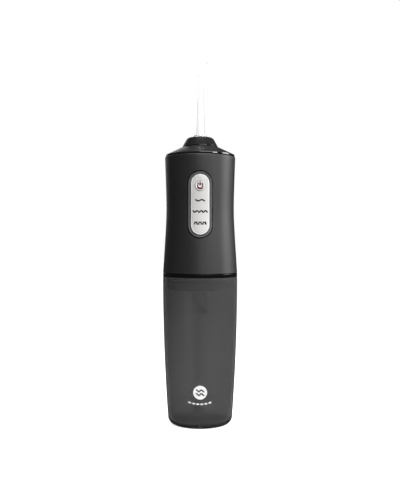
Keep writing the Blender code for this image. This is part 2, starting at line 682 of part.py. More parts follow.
def make_drive_gear():
    """A face gear whose teeth stand on one side near its rim, with a crank pin behind."""
    steps = 2 * GEAR_TEETH
    half_tooth = 0.36 / (GEAR_MODULE * GEAR_TEETH / 2)
    pitch_angle = math.tau / GEAR_TEETH
    base, tip = GEAR_FACE + 0.9, GEAR_FACE - 0.5
    turns = []
    for tooth in range(GEAR_TEETH):
        middle = math.pi / 2 + tooth * pitch_angle
        turns += [middle - half_tooth, middle + half_tooth]
    shape = bmesh.new()

    def ring(radius, y):
        return [shape.verts.new((MOTOR_X + radius * math.cos(t), y, GEAR_HEIGHT + radius * math.sin(t)))
                for t in turns]

    rings = [ring(3.2, base - 2.4), ring(3.2, base), ring(8.4, base), ring(10.6, base),
             ring(10.6, GEAR_BACK)]
    for first, second in zip(rings, rings[1:]):
        bridge(shape, first, second)
    shape.faces.new(rings[0])
    shape.faces.new(rings[-1])
    shape.faces.ensure_lookup_table()
    crown = [shape.faces[2 * steps + i] for i in range(1, steps, 2)]
    teeth = bmesh.ops.extrude_discrete_faces(shape, faces=crown)["faces"]
    for face in teeth:
        bmesh.ops.translate(shape, vec=(0, tip - base, 0), verts=face.verts)
    gear = make_object("drive_gear", shape, nylon())
    drill(gear, "axle_bore", 1.25 + BORE_GAP, (MOTOR_X, 0, GEAR_HEIGHT),
          (MOTOR_X, GEAR_BACK - 1.8, GEAR_HEIGHT))
    pin_x = MOTOR_X + CRANK_THROW
    drill(gear, "pin_bore", CRANK_RADIUS + GAP, (pin_x, GEAR_BACK - 1.4, GEAR_HEIGHT),
          (pin_x, GEAR_BACK + 1, GEAR_HEIGHT), steps=12)
    pin = rod("crank_pin", CRANK_RADIUS, (pin_x, GEAR_BACK - 1.1, GEAR_HEIGHT),
              (pin_x, YOKE_FRONT + YOKE_THICKNESS + 0.5, GEAR_HEIGHT), steel(), 0.2)
    return gear, pin


def make_gear_axle():
    """A shouldered axle, held in the chassis wall, that the drive gear turns on."""
    wall = CHASSIS_FRONT
    outline = [(0, -1.3), (2.3, -1.3), (2.3, -GAP), (1.25, -GAP), (1.25, 2 + GAP), (2.2, 2 + GAP),
               (2.2, 8.3), (1.25, 8.3), (1.25, 12.0), (0, 12.0)]
    return turned_along("gear_axle", outline, steel(), (MOTOR_X, wall, GEAR_HEIGHT), (0, 1, 0), steps=16)


# ---- Pump and water path ------------------------------------------------------------------------

def make_plunger():
    """The yoke that the crank pin works in, its rod and piston, and the cup seal."""
    window = rounded_rectangle(7.4, 11.4, 1.2, GEAR_HEIGHT, 3)
    outer = rounded_rectangle(11.4, 15.4, 1.6, GEAR_HEIGHT, 3)
    yoke = extruded("plunger", [(x + MOTOR_X, z) for x, z in outer], YOKE_FRONT,
                    YOKE_FRONT + YOKE_THICKNESS, nylon(), "XZ")
    cut(yoke, extruded("yoke_window", [(x + MOTOR_X, z) for x, z in window], YOKE_FRONT - 1,
                       YOKE_FRONT + YOKE_THICKNESS + 1, nylon(), "XZ"))
    piston = [(0, 130.5), (4.1, 130.5), (4.1, 131.6), (3.2, 131.6), (3.2, 134.4), (4.1, 134.4),
              (4.1, 136.4), (1.9, 136.4), (1.9, 141.0), (1.2, 142.0), (1.2, 151.0), (0, 151.0)]
    join(yoke, turned("piston", piston, nylon(), (MOTOR_X, PUMP_Y), steps=20))
    seal = turned("plunger_seal", [(3.5, 131.9), (4.1, 131.9), (4.15, 134.1), (3.5, 134.1)],
                  black_rubber(), (MOTOR_X, PUMP_Y), steps=20)
    return yoke, seal


def make_pump():
    """The cylinder with its two arms, one to the pickup tube and one to the delivery tube."""
    centre = (MOTOR_X, PUMP_Y)
    pump = rod("pump_body", PUMP_RADIUS, (*centre, PUMP_BOTTOM), (*centre, PUMP_TOP), nylon(), steps=24)
    join(pump, extruded("inlet_arm", capsule(PICKUP, centre, 4.2), PUMP_BOTTOM + 0.01, 117, nylon()))
    join(pump, extruded("outlet_arm", capsule(DELIVERY, centre, 3.6), 124.6, 131, nylon()))
    ears = (MOTOR_X - 9.6, PUMP_Y - 2.7, PUMP_TOP - 4.8), (MOTOR_X + 9.6, PUMP_Y + 2.7, PUMP_TOP - 0.01)
    join(pump, block("ears", *ears, nylon()))
    drill(pump, "cylinder_bore", PUMP_BORE, (*centre, 118.5), (*centre, PUMP_TOP + 1), steps=20)
    drill(pump, "inlet_bore", PICKUP_RADIUS + GAP, (*PICKUP, PUMP_BOTTOM - 1), (*PICKUP, 114.5))
    drill(pump, "inlet_channel", 1.0, (*PICKUP, 113), (*centre, 113), steps=12)
    drill(pump, "inlet_port", 1.5, (*centre, 111.3), (*centre, 119.5), steps=12)
    drill(pump, "outlet_bore", DELIVERY_RADIUS + GAP, (*DELIVERY, 125.8), (*DELIVERY, 132))
    drill(pump, "outlet_channel", 0.9, (*DELIVERY, 126.7), (*centre, 126.7), steps=12)
    screws = []
    for i, spot in enumerate(pump_screw_spots()):
        drill(pump, "pump_thread", 1.0 + GAP, (*spot, PUMP_TOP - 4), (*spot, PUMP_TOP + 1), steps=12)
        screws.append(screw(f"pump_screw_{i + 1}", (*spot, LOWER_DECK + DECK + GAP), (0, 0, -1), 4.8))
    inlet = rod("inlet_valve", 3.2, (*centre, 118.8), (*centre, 119.8), black_rubber())
    outlet = rod("outlet_valve", 1.9, (*DELIVERY, 126.1), (*DELIVERY, 127.2), black_rubber())
    return [pump, inlet, outlet, *screws]


def make_water_tubes():
    """The pickup tube with its strainer, and the tube from the pump up to the nozzle."""
    foot, top = 7.0, 113.5
    pickup = turned("pickup_tube", [(1.5, foot), (PICKUP_RADIUS, foot), (PICKUP_RADIUS, top), (1.5, top)],
                    clear_plastic(), PICKUP, steps=16)
    outline = [(1.0, 4.5), (3.8, 4.5), (4.2, 4.9), (4.2, 13.0), (2.85, 13.0), (2.85, 6.6), (1.0, 6.6)]
    strainer = turned("pickup_filter", outline, clear_plastic(), PICKUP, steps=16)
    x, y = DELIVERY
    bend = [(x + 1.0 * t, y - 4.5 * t * t, 192 + 9 * t) for t in spread(0, 1, 4)[1:]]
    end = Vector((0, 4.6, INLET_HEIGHT))
    turn = quadratic(Vector(bend[-1]), Vector((-1.5, 10.5, INLET_HEIGHT)), Vector((-0.2, 7.0, INLET_HEIGHT)),
                     6)[1:]
    path = [(x, y, z) for z in spread(127.6, 192, 6)] + bend + turn + [end]
    delivery = tube("delivery_tube", path, [DELIVERY_RADIUS] * len(path), 1.2, clear_plastic(), steps=8)
    return pickup, strainer, delivery


def quadratic(start, control, end, count):
    """Points of a quadratic curve between two points."""
    return [start.lerp(control, t).lerp(control.lerp(end, t), t) for t in spread(0, 1, count)]


# ---- Nozzle ---------------------------------------------------------------------------------------

def make_nozzle_socket():
    """The socket that takes the jet tip's stem, sealed by a ring, fed from behind."""
    bore = STEM_RADIUS + BORE_GAP
    outline = [(0, 203.4), (5.5, 203.4), (5.5, 211.0), (8.6, 211.0), (8.6, 214.1), (5.6, 214.1),
               (5.6, 222.0), (bore, 222.0), (bore, 218.6), (3.95, 218.6), (3.95, 216.6), (bore, 216.6),
               (bore, 208.6), (1.2, 208.6), (1.2, 205.4), (0, 205.4)]
    socket = turned("nozzle_socket", outline, nylon(), steps=16)
    drill(socket, "feed_bore", DELIVERY_RADIUS + GAP, (0, 2.2, INLET_HEIGHT), (0, 8, INLET_HEIGHT))
    drill(socket, "feed_channel", 1.0, (0, 0, INLET_HEIGHT), (0, 4, INLET_HEIGHT), steps=12)
    seal = torus("socket_seal", 3.1, 0.52, 217.6, black_rubber(), steps=12)
    return socket, seal


def make_collar():
    """The turning collar: a hollow cone with a rounded shoulder."""
    shoulder = 2.0
    top = COLLAR_TOP - 0.1
    outline = [(NECK_RADIUS - 0.2, COLLAR_BOTTOM), (NECK_RADIUS, COLLAR_BOTTOM + 0.3)]
    outline += arc((COLLAR_RADIUS - shoulder, top - shoulder), shoulder, 30, 90, 4)
    outline += [(5.6, top), (5.2, COLLAR_TOP), (4.3, COLLAR_TOP), (4.3, 223.4), (9.0, 223.4),
                (9.0, COLLAR_BOTTOM)]
    return turned("nozzle_collar", outline, gloss_black(), steps=24)


def make_jet_tip():
    """A hollow tapering tip, bent near its end, with its marking ring."""
    root, end_radius = 3.7, 1.95
    straight = [(210.6, STEM_RADIUS), (FLANGE_BOTTOM - 0.3, STEM_RADIUS), (FLANGE_BOTTOM, root),
                (227.6, root), (229.4, root), (FLANGE_TOP, 4.0), (234.0, 3.72), (246.0, 3.15),
                (260.0, 2.45), (TIP_BEND, end_radius)]
    path = [(0, 0, z) for z, _ in straight]
    radii = [radius for _, radius in straight]
    for turn in spread(0, TIP_LEAN, 5)[1:]:
        path.append((TIP_BEND_RADIUS * (1 - math.cos(turn)), 0,
                     TIP_BEND + TIP_BEND_RADIUS * math.sin(turn)))
        radii.append(end_radius - 0.25 * turn / TIP_LEAN)
    elbow = Vector(path[-1])
    aim = Vector((math.sin(TIP_LEAN), 0, math.cos(TIP_LEAN)))
    for reach, radius in ((POINT_LENGTH * 0.4, 1.5), (POINT_LENGTH, 1.25)):
        path.append(elbow + aim * reach)
        radii.append(radius)
    tip = tube("jet_tip", path, radii, TIP_BORE, clear_plastic(), steps=12)
    low, high = 227.65, 229.2
    outline = [(4.05, low), (5.2, low), (5.3, low + 0.35), (5.3, high - 0.3), (5.1, high), (4.05, high)]
    ring = turned("jet_tip_ring", outline, white_plastic(), steps=24)
    return tip, ring


def release_axis():
    """Middle of the release button on the cap's slope, and the direction out of it."""
    out = Vector((0, math.sin(CAP_SLOPE), math.cos(CAP_SLOPE)))
    drop = (RELEASE_RADIUS - NECK_RADIUS) * math.tan(CAP_SLOPE)
    return Vector((0, RELEASE_RADIUS, CAP_TOP - drop)), out


def make_release():
    """The nozzle release button and the latch plate that it pushes."""
    middle, out = release_axis()
    outline = [(0, -4.6), (1.2, -4.6), (1.2, -3.2), (3.3, -3.2), (3.3, 0.5), (2.8, 0.9), (0, 1.1)]
    button = turned_along("release_button", outline, gloss_black(), middle, out, steps=20)
    plate = block("release_latch", (-3.5, 10.0, 209.6), (3.5, 19.5, 210.6), steel())
    return button, plate


def main():
    clear_scene()
    tank = make_tank()
    door, door_seal, door_pin = make_fill_door()
    plug, tank_seal = make_lower_plug()
    housing = make_housing()
    cap, cap_seal = make_top_cap()
    panel_pieces, power_button = make_panel()
    charge_socket, cover = make_charge_port()
    shaft, pinion = make_rotor()
    gear, crank_pin = make_drive_gear()
    plunger, plunger_seal = make_plunger()
    pickup, strainer, delivery = make_water_tubes()
    socket, socket_seal = make_nozzle_socket()
    collar = make_collar()
    tip, ring = make_jet_tip()
    release_button, latch = make_release()
    fixed = [plug, tank_seal, housing, cap, cap_seal, *panel_pieces, charge_socket, make_battery(),
             make_chassis(), *make_motor(), make_gear_axle(), *make_pump(), pickup, strainer, delivery,
             socket, socket_seal]

    base = body("tank", (0, 0, 0), [tank, door_pin])
    body("fill_door", (0, *door_axis()), [door, door_seal], base)
    handle = body("handle", (0, 0, 0), fixed, base)
    body("power_button", (0, -housing_radius(BUTTON_HEIGHT), BUTTON_HEIGHT), [power_button], handle)
    body("charge_port_cover", (*cover_axis(), PORT_HEIGHT), [cover], handle)
    body("rotor", (MOTOR_X, MOTOR_Y, MOTOR_BOTTOM), [shaft, pinion], handle)
    body("drive_gear", (MOTOR_X, GEAR_FACE, GEAR_HEIGHT), [gear, crank_pin], handle)
    body("plunger", (MOTOR_X, PUMP_Y, GEAR_HEIGHT), [plunger, plunger_seal], handle)
    body("release_button", release_axis()[0], [release_button, latch], handle)
    turret = body("nozzle_collar", (0, 0, COLLAR_BOTTOM), [collar], handle)
    body("jet_tip", (0, 0, COLLAR_TOP), [tip, ring], turret)


main()
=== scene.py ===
"""Looks of a cordless water flosser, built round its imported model.

Sizes are in millimetres, like the heights and radii read from the model, and become metres as
each mesh is made. +Z is up and the control panel faces -Y.
"""

import json
import math

import bmesh
import bpy
from mathutils import Matrix, Vector


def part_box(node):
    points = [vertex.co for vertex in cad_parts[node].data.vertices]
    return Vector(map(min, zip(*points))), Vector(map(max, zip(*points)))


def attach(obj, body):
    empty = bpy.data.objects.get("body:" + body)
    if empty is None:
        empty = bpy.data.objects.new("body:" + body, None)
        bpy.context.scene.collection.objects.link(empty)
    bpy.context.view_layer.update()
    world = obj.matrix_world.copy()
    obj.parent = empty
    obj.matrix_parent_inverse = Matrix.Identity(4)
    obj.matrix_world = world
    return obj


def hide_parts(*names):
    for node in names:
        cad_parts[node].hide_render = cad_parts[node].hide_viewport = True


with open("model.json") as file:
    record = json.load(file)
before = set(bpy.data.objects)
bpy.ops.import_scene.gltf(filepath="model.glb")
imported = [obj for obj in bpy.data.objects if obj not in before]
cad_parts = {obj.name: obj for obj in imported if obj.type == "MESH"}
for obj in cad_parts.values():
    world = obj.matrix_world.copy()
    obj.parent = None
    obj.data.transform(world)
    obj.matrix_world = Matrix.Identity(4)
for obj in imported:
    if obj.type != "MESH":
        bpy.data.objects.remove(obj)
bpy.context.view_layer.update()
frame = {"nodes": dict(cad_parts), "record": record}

MM = 0.001
FRONT = -1
REAR = 1
SMOOTH_ANGLE = math.radians(40)


def span(node):
    """Lowest and highest corner of a CAD node, in millimetres."""
    low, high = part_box(node)
    return Vector(low) / MM, Vector(high) / MM


def middle_of(node):
    """Middle of a CAD node's box, in millimetres."""
    low, high = span(node)
    return (low + high) / 2


# Boxes and joints of the model
TANK_HIGH = span("tank")[1]
PLUG_LOW, PLUG_HIGH = span("lower_plug")
HOUSING_LOW, HOUSING_HIGH = span("housing")
CAP_LOW, CAP_HIGH = span("top_cap")
COLLAR_LOW, COLLAR_HIGH = span("nozzle_collar")
TIP_LOW = span("jet_tip")[0]
RING_LOW, RING_HIGH = span("jet_tip_ring")
PANEL_LOW, PANEL_HIGH = span("control_panel")
BEZEL_LOW, BEZEL_HIGH = span("panel_bezel")
BUTTON_LOW = span("power_button")[0]
PIN_LOW, PIN_HIGH = span("fill_door_pin")
SOCKET_LOW, SOCKET_HIGH = span("charge_socket")
STRAINER_LOW, STRAINER_HIGH = span("pickup_filter")
PICKUP_LOW, PICKUP_HIGH = span("pickup_tube")
JOINTS = {joint["name"]: joint for joint in frame["record"]["behaviour"]["joints"]}

# Tank, housing and cap
GAP = 0.3
SHELL_RADIUS = TANK_HIGH.x
TANK_TOP = TANK_HIGH.z
TAPER_START = 114.0
TANK_TAPER = 4.4
TANK_WALL = 1.8
TANK_FLOOR = 3.0
TANK_CORNER = 5.0
TANK_LIP = 0.4
WAIST_RADIUS = 26.93
WAIST_HEIGHT = 170.0
WAIST_BEND = 12.0
WAIST_RISE = 1.17
HOUSING_WALL = 1.9
HOUSING_EDGE = 0.8
BAND_BOTTOM = TANK_TOP + GAP
BAND_TOP = HOUSING_LOW.z - GAP
CAP_BOTTOM = HOUSING_HIGH.z + GAP
CAP_TOP = COLLAR_LOW.z - GAP
CAP_LIP = 1.3
CAP_RADIUS = CAP_HIGH.x
NECK_RADIUS = COLLAR_HIGH.x
SLOPE_TOP = NECK_RADIUS + 0.4
CAP_SLOPE = (CAP_TOP - CAP_BOTTOM - CAP_LIP) / (CAP_RADIUS - SLOPE_TOP)
SOCKET_TOP = 223.0

# Panel, and the badge on the tank
PANEL_WIDTH = PANEL_HIGH.x - PANEL_LOW.x
PANEL_HEIGHT = PANEL_HIGH.z - PANEL_LOW.z
PANEL_MIDDLE = middle_of("control_panel").z
BEZEL_WIDTH = BEZEL_HIGH.x - BEZEL_LOW.x
BEZEL_HEIGHT = BEZEL_HIGH.z - BEZEL_LOW.z
BUTTON_RADIUS = 3.65
BUTTON_MIDDLE = middle_of("power_button").z
MODE_HEIGHTS = [middle_of(f"mode_led_{i}").z for i in (1, 2, 3)]
BADGE_MIDDLE = 29.0
BADGE_RADIUS = 5.3

# Filling door, charging port and release button, at the back
DOOR_AXIS = Vector(JOINTS["fill_door_hinge"]["pos_m"]) / MM
DOOR_WIDTH = 15.0
DOOR_HEIGHT = 17.0
DOOR_MIDDLE = 94.0
DOOR_CORNER = 3.5
DOOR_GAP = 0.5
KNUCKLE_RADIUS = 1.4
KNUCKLE_BORE = 0.9
COVER_AXIS = Vector(JOINTS["port_cover_hinge"]["pos_m"]) / MM
PORT_WIDTH = 11.4
PORT_TALL = 6.4
PORT_CORNER = 1.6
RELEASE_AIM = -Vector(JOINTS["release_press"]["axis"])
RELEASE_REACH = 20.6

# How bright the room looks in reflections, in front, beside and behind
ROOM_FRONT = 0.12
ROOM_SIDE = 0.1
ROOM_BACK = 0.06


# ---- Outlines -------------------------------------------------------------------------------

def tank_radius(z):
    """The tank is widest at its mouth and narrows in a parabola towards its base."""
    fall = max(0.0, 1 - z / TAPER_START)
    return SHELL_RADIUS - TANK_TAPER * fall * fall


def flare(height):
    """Height of a hyperbola that is flat at the waist and straight further away."""
    return math.sqrt(1 + (height / WAIST_BEND) ** 2) - 1


def housing_radius(z):
    """The housing is narrowest at its waist and flares more below it than above."""
    if z < WAIST_HEIGHT:
        end, rise = HOUSING_LOW.z, SHELL_RADIUS - WAIST_RADIUS
    else:
        end, rise = HOUSING_HIGH.z, WAIST_RISE
    return WAIST_RADIUS + rise * flare(z - WAIST_HEIGHT) / flare(end - WAIST_HEIGHT)


def spread(start, end, count):
    """Evenly spaced values from start to end, both included."""
    return [start + (end - start) * i / (count - 1) for i in range(count)]


def arc(centre, radius, start, end, count):
    """Points of an arc, with its angles in degrees."""
    angles = [math.radians(a) for a in spread(start, end, count)]
    return [(centre[0] + radius * math.cos(a), centre[1] + radius * math.sin(a)) for a in angles]


def softened(points, steps=4):
    """An outline whose corners are rounded where a point has a third number, its reach."""
    outline = []
    for i, point in enumerate(points):
        reach = point[2] if len(point) > 2 else 0
        here = Vector(point[:2])
        if not reach or i in (0, len(points) - 1):
            outline.append(tuple(here))
            continue
        before, after = (Vector(points[j][:2]) for j in (i - 1, i + 1))
        start = here + (before - here).normalized() * min(reach, (before - here).length / 2)
        end = here + (after - here).normalized() * min(reach, (after - here).length / 2)
        for t in spread(0, 1, steps + 1):
            outline.append(tuple(start.lerp(here, t).lerp(here.lerp(end, t), t)))
    return outline


def rounded_loop(width, height, corner, middle, arc_steps, side_steps):
    """A closed (x, z) outline in mirrored order: its right half down, its left half up."""
    across, up = width / 2 - corner, height / 2 - corner
    half = []
    if across > 0.05:
        half += [(x, middle + height / 2) for x in spread(0, across, 5)[1:-1]]
    quarter = [math.radians(90 * (i + 0.5) / arc_steps) for i in range(arc_steps)]
    half += [(across + corner * math.sin(a), middle + up + corner * math.cos(a)) for a in quarter]
    half += [(across + corner, z) for z in spread(middle + up, middle - up, side_steps + 1)]
    half += [(x, 2 * middle - z) for x, z in reversed(half[:len(half) - side_steps - 1])]
    return half + [(-x, z) for x, z in reversed(half)]


def stadium(width, height, middle):
    """A closed (x, z) outline with straight sides and half-round ends."""
    return rounded_loop(width, height, width / 2, middle, 12, 24)


# ---- Mesh building --------------------------------------------------------------------------

def make_object(name, shape, look=None):
    """Turn a bmesh in millimetres into an object in metres."""
    bmesh.ops.remove_doubles(shape, verts=shape.verts, dist=0.0005)
    bmesh.ops.recalc_face_normals(shape, faces=shape.faces)
    bmesh.ops.scale(shape, vec=(MM, MM, MM), verts=shape.verts)
    mesh = bpy.data.meshes.new(name)
    shape.to_mesh(mesh)
    shape.free()
    mesh.shade_smooth()
    mesh.set_sharp_from_angle(angle=SMOOTH_ANGLE)
    if look is not None:
        mesh.materials.append(look)
    piece = bpy.data.objects.new(name, mesh)
    bpy.context.collection.objects.link(piece)
    return piece


def bridge(shape, first, second):
    """Join two rings of equal count with a band of quads."""
    for i in range(len(first)):
        shape.faces.new((first[i - 1], first[i], second[i], second[i - 1]))


def fill_across(shape, ring):
    """Close a ring whose points come in mirrored order with a strip of quads."""
    last = len(ring) - 1
    for i in range(len(ring) // 2 - 1):
        shape.faces.new((ring[i], ring[i + 1], ring[last - i - 1], ring[last - i]))


def turned(name, outline, look=None, centre=(0.0, 0.0), steps=128):
    """Turn an (r, z) outline round a vertical axis; one that leaves the axis is a loop."""
    shape = bmesh.new()
    points = [shape.verts.new((r, 0, z)) for r, z in outline]
    edges = [shape.edges.new(pair) for pair in zip(points, points[1:])]
    if outline[0][0] > 0:
        edges.append(shape.edges.new((points[-1], points[0])))
    bmesh.ops.spin(shape, geom=points + edges, cent=(0, 0, 0), axis=(0, 0, 1),
                   angle=math.tau, steps=steps, use_merge=True)
    bmesh.ops.translate(shape, vec=(*centre, 0), verts=shape.verts)
    return make_object(name, shape, look)


def turned_along(name, outline, look, start, direction, steps=48):
    """Turn an (r, distance) outline round an axis that leaves start in any direction."""
    piece = turned(name, outline, look, steps=steps)
    turn = Vector((0, 0, 1)).rotation_difference(Vector(direction)).to_matrix().to_4x4()
    piece.data.transform(Matrix.Translation(Vector(start) * MM) @ turn)
    return piece


def rod(name, radius, start, end, look=None, soft=0.0, steps=40):
    """A round bar between two points, with soft edges."""
    path = Vector(end) - Vector(start)
    outline = softened([(0, 0), (radius, 0, soft), (radius, path.length, soft), (0, path.length)])
    return turned_along(name, outline, look, start, path, steps)


def torus(name, radius, section, z, look, sides=16):
    """A ring of round section, lying level."""
    return turned(name, arc((radius, z), section, 0, 360 - 360 / sides, sides), look, steps=96)


def extruded(name, outline, start, end, look=None):
    """Extrude an (x, z) outline along Y."""
    shape = bmesh.new()
    loops = [[shape.verts.new((x, y, z)) for x, z in outline] for y in (start, end)]
    bridge(shape, *loops)
    for loop in loops:
        shape.faces.new(loop)
    return make_object(name, shape, look)


def block(name, low, high, look, soft=0.0):
    """A box between two corners, with soft edges."""
    shape = bmesh.new()
    bmesh.ops.create_cube(shape, size=1.0)
    low, high = Vector(low), Vector(high)
    bmesh.ops.scale(shape, vec=high - low, verts=shape.verts)
    bmesh.ops.translate(shape, vec=(low + high) / 2, verts=shape.verts)
    if soft:
        bmesh.ops.bevel(shape, geom=shape.edges, offset=soft, segments=3, affect="EDGES",
                        profile=0.5)
    return make_object(name, shape, look)


def on_shell(x, z, radius_at, offset, side):
    """The point at x and z that lies offset outside a shell, on its front or its rear."""
    return (x, side * math.sqrt((radius_at(z) + offset) ** 2 - x * x), z)


def wrapped(name, rings, radius_at, look, side=FRONT, closed="across"):
    """A shape bent round a shell, from rings of ((x, z) outline, offset outside the shell).

    closed is "across" for a plate whose first and last rings are filled, or "loop" for a frame.
    """
    shape = bmesh.new()
    loops = []
    for outline, offset in rings:
        loops.append([shape.verts.new(on_shell(x, z, radius_at, offset, side)) for x, z in outline])
    for first, second in zip(loops, loops[1:]):
        bridge(shape, first, second)
    if closed == "loop":
        bridge(shape, loops[-1], loops[0])
    else:
        fill_across(shape, loops[0])
        fill_across(shape, loops[-1])
    return make_object(name, shape, look)


def combine(target, tool, operation="DIFFERENCE"):
    """Cut or join now, and remove the tool."""
    change = target.modifiers.new("change", "BOOLEAN")
    change.operation = operation
    change.object = tool
    change.solver = "EXACT"
    bpy.context.view_layer.update()
    evaluated = target.evaluated_get(bpy.context.evaluated_depsgraph_get())
    result = bpy.data.meshes.new_from_object(evaluated)
    target.modifiers.clear()
    target.data = result
    bpy.data.objects.remove(tool)
    result.shade_smooth()
    result.set_sharp_from_angle(angle=SMOOTH_ANGLE)


def drill(target, radius, start, end, steps=40):
    """Cut a round hole between two points."""
    combine(target, rod("drill", radius, start, end, steps=steps))


def stroke(name, path, width, radius_at, look, lift=0.02, thick=0.05):
    """A printed line: a thin strip along an (x, z) path, lying on the front of a shell."""
    path = [Vector(p) for p in path]
    last = len(path) - 1
    shape = bmesh.new()
    rows = []
    for i, point in enumerate(path):
        before, after = path[max(i - 1, 0)], path[min(i + 1, last)]
        along = (after - before).normalized()
        normal = Vector((-along.y, along.x))
        if i < last:
            normal /= max(0.6, (after - point).normalized().dot(along))
        left, right = point + normal * width / 2, point - normal * width / 2
        corners = ((left, lift), (left, lift + thick), (right, lift + thick), (right, lift))
        rows.append([shape.verts.new(on_shell(spot.x, spot.y, radius_at, offset, FRONT))
                     for spot, offset in corners])
    for first, second in zip(rows, rows[1:]):
        bridge(shape, first, second)
    shape.faces.new(rows[0])
    shape.faces.new(rows[-1])
    return make_object(name, shape, look)


def merged(name, pieces, look):
    """Join separate shapes of one look into one object."""
    base = pieces[0]
    shape = bmesh.new()
    for piece in pieces:
        shape.from_mesh(piece.data)
    mesh = bpy.data.meshes.new(name)
    shape.to_mesh(mesh)
    shape.free()
    mesh.materials.append(look)
    base.data = mesh
    base.name = name
    for piece in pieces[1:]:
        bpy.data.objects.remove(piece)
    return base


def change_below(piece, top, look):
    """Give everything below a height another look."""
    piece.data.materials.append(look)
    for face in piece.data.polygons:
        if face.center.z < top * MM:
            face.material_index = 1


def place(piece, body, *nodes, slot=None):
    """Ride on a body, and stand for CAD nodes."""
    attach(piece, body)
    if nodes:
        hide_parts(*nodes)


# ---- Materials ------------------------------------------------------------------------------

def surface(name, colour, roughness, metallic=0.0, specular=0.5, coat=0.0, transmission=0.0,
            ior=1.49, variation=0.08, cloud=40.0, grain=2500.0, bump=0.05, rough_spread=0.05,
            stretch=(1, 1, 1), absorption=0.0):
    """A Principled material with cloudy colour, uneven gloss and a fine grain.

    variation is how far the colour strays, as a share of it, and rough_spread how far the
    roughness does. cloud and grain are how many clouds and grains there are to a metre.
    absorption, per millimetre, darkens clear plastic where light passes through more of it.
    """
    look = bpy.data.materials.new(name)
    look.use_nodes = True
    tree = look.node_tree
    shader = tree.nodes["Principled BSDF"]
    new = tree.nodes.new
    link = tree.links.new
    coords = new("ShaderNodeTexCoord")
    stretched = new("ShaderNodeMapping")
    stretched.inputs["Scale"].default_value = stretch
    link(coords.outputs["Object"], stretched.inputs["Vector"])
    clouds = new("ShaderNodeTexNoise")
    clouds.inputs["Scale"].default_value = cloud
    clouds.inputs["Detail"].default_value = 4.0
    link(stretched.outputs["Vector"], clouds.inputs["Vector"])
    fine = new("ShaderNodeTexNoise")
    fine.inputs["Scale"].default_value = grain
    fine.inputs["Detail"].default_value = 2.0
    link(stretched.outputs["Vector"], fine.inputs["Vector"])
    tint = new("ShaderNodeMix")
    tint.data_type = "RGBA"
    tint.inputs["A"].default_value = (*[c * (1 - variation) for c in colour], 1)
    tint.inputs["B"].default_value = (*[min(1, c * (1 + variation)) for c in colour], 1)
    link(clouds.outputs["Fac"], tint.inputs["Factor"])
    link(tint.outputs["Result"], shader.inputs["Base Color"])
    gloss = new("ShaderNodeMapRange")
    gloss.inputs["To Min"].default_value = max(0.0, roughness - rough_spread)
    gloss.inputs["To Max"].default_value = min(1.0, roughness + rough_spread)
    link(clouds.outputs["Fac"], gloss.inputs["Value"])
    link(gloss.outputs["Result"], shader.inputs["Roughness"])
    relief = new("ShaderNodeBump")
    relief.inputs["Strength"].default_value = bump
    relief.inputs["Distance"].default_value = 0.05 * MM
    link(fine.outputs["Fac"], relief.inputs["Height"])
    link(relief.outputs["Normal"], shader.inputs["Normal"])
    shader.inputs["Metallic"].default_value = metallic
    shader.inputs["Specular IOR Level"].default_value = specular
    shader.inputs["Coat Weight"].default_value = coat
    shader.inputs["Transmission Weight"].default_value = transmission
    shader.inputs["IOR"].default_value = ior
    if absorption:
        inside = new("ShaderNodeVolumeAbsorption")
        inside.inputs["Color"].default_value = (0, 0, 0, 1)
        inside.inputs["Density"].default_value = absorption / MM
        link(inside.outputs["Volume"], tree.nodes["Material Output"].inputs["Volume"])
    return look


def add_wear(look, colour):
    """Lighten a material by up to half along its sharp edges, where handling has polished it."""
    tree = look.node_tree
    shader = tree.nodes["Principled BSDF"]
    source = shader.inputs["Base Color"].links[0].from_socket
    shape = tree.nodes.new("ShaderNodeNewGeometry")
    edge = tree.nodes.new("ShaderNodeMapRange")
    edge.inputs["From Min"].default_value = 0.52
    edge.inputs["From Max"].default_value = 0.62
    edge.inputs["To Max"].default_value = 0.5
    blend = tree.nodes.new("ShaderNodeMix")
    blend.data_type = "RGBA"
    blend.inputs["B"].default_value = (*colour, 1)
    tree.links.new(shape.outputs["Pointiness"], edge.inputs["Value"])
    tree.links.new(edge.outputs["Result"], blend.inputs["Factor"])
    tree.links.new(source, blend.inputs["A"])
    tree.links.new(blend.outputs["Result"], shader.inputs["Base Color"])


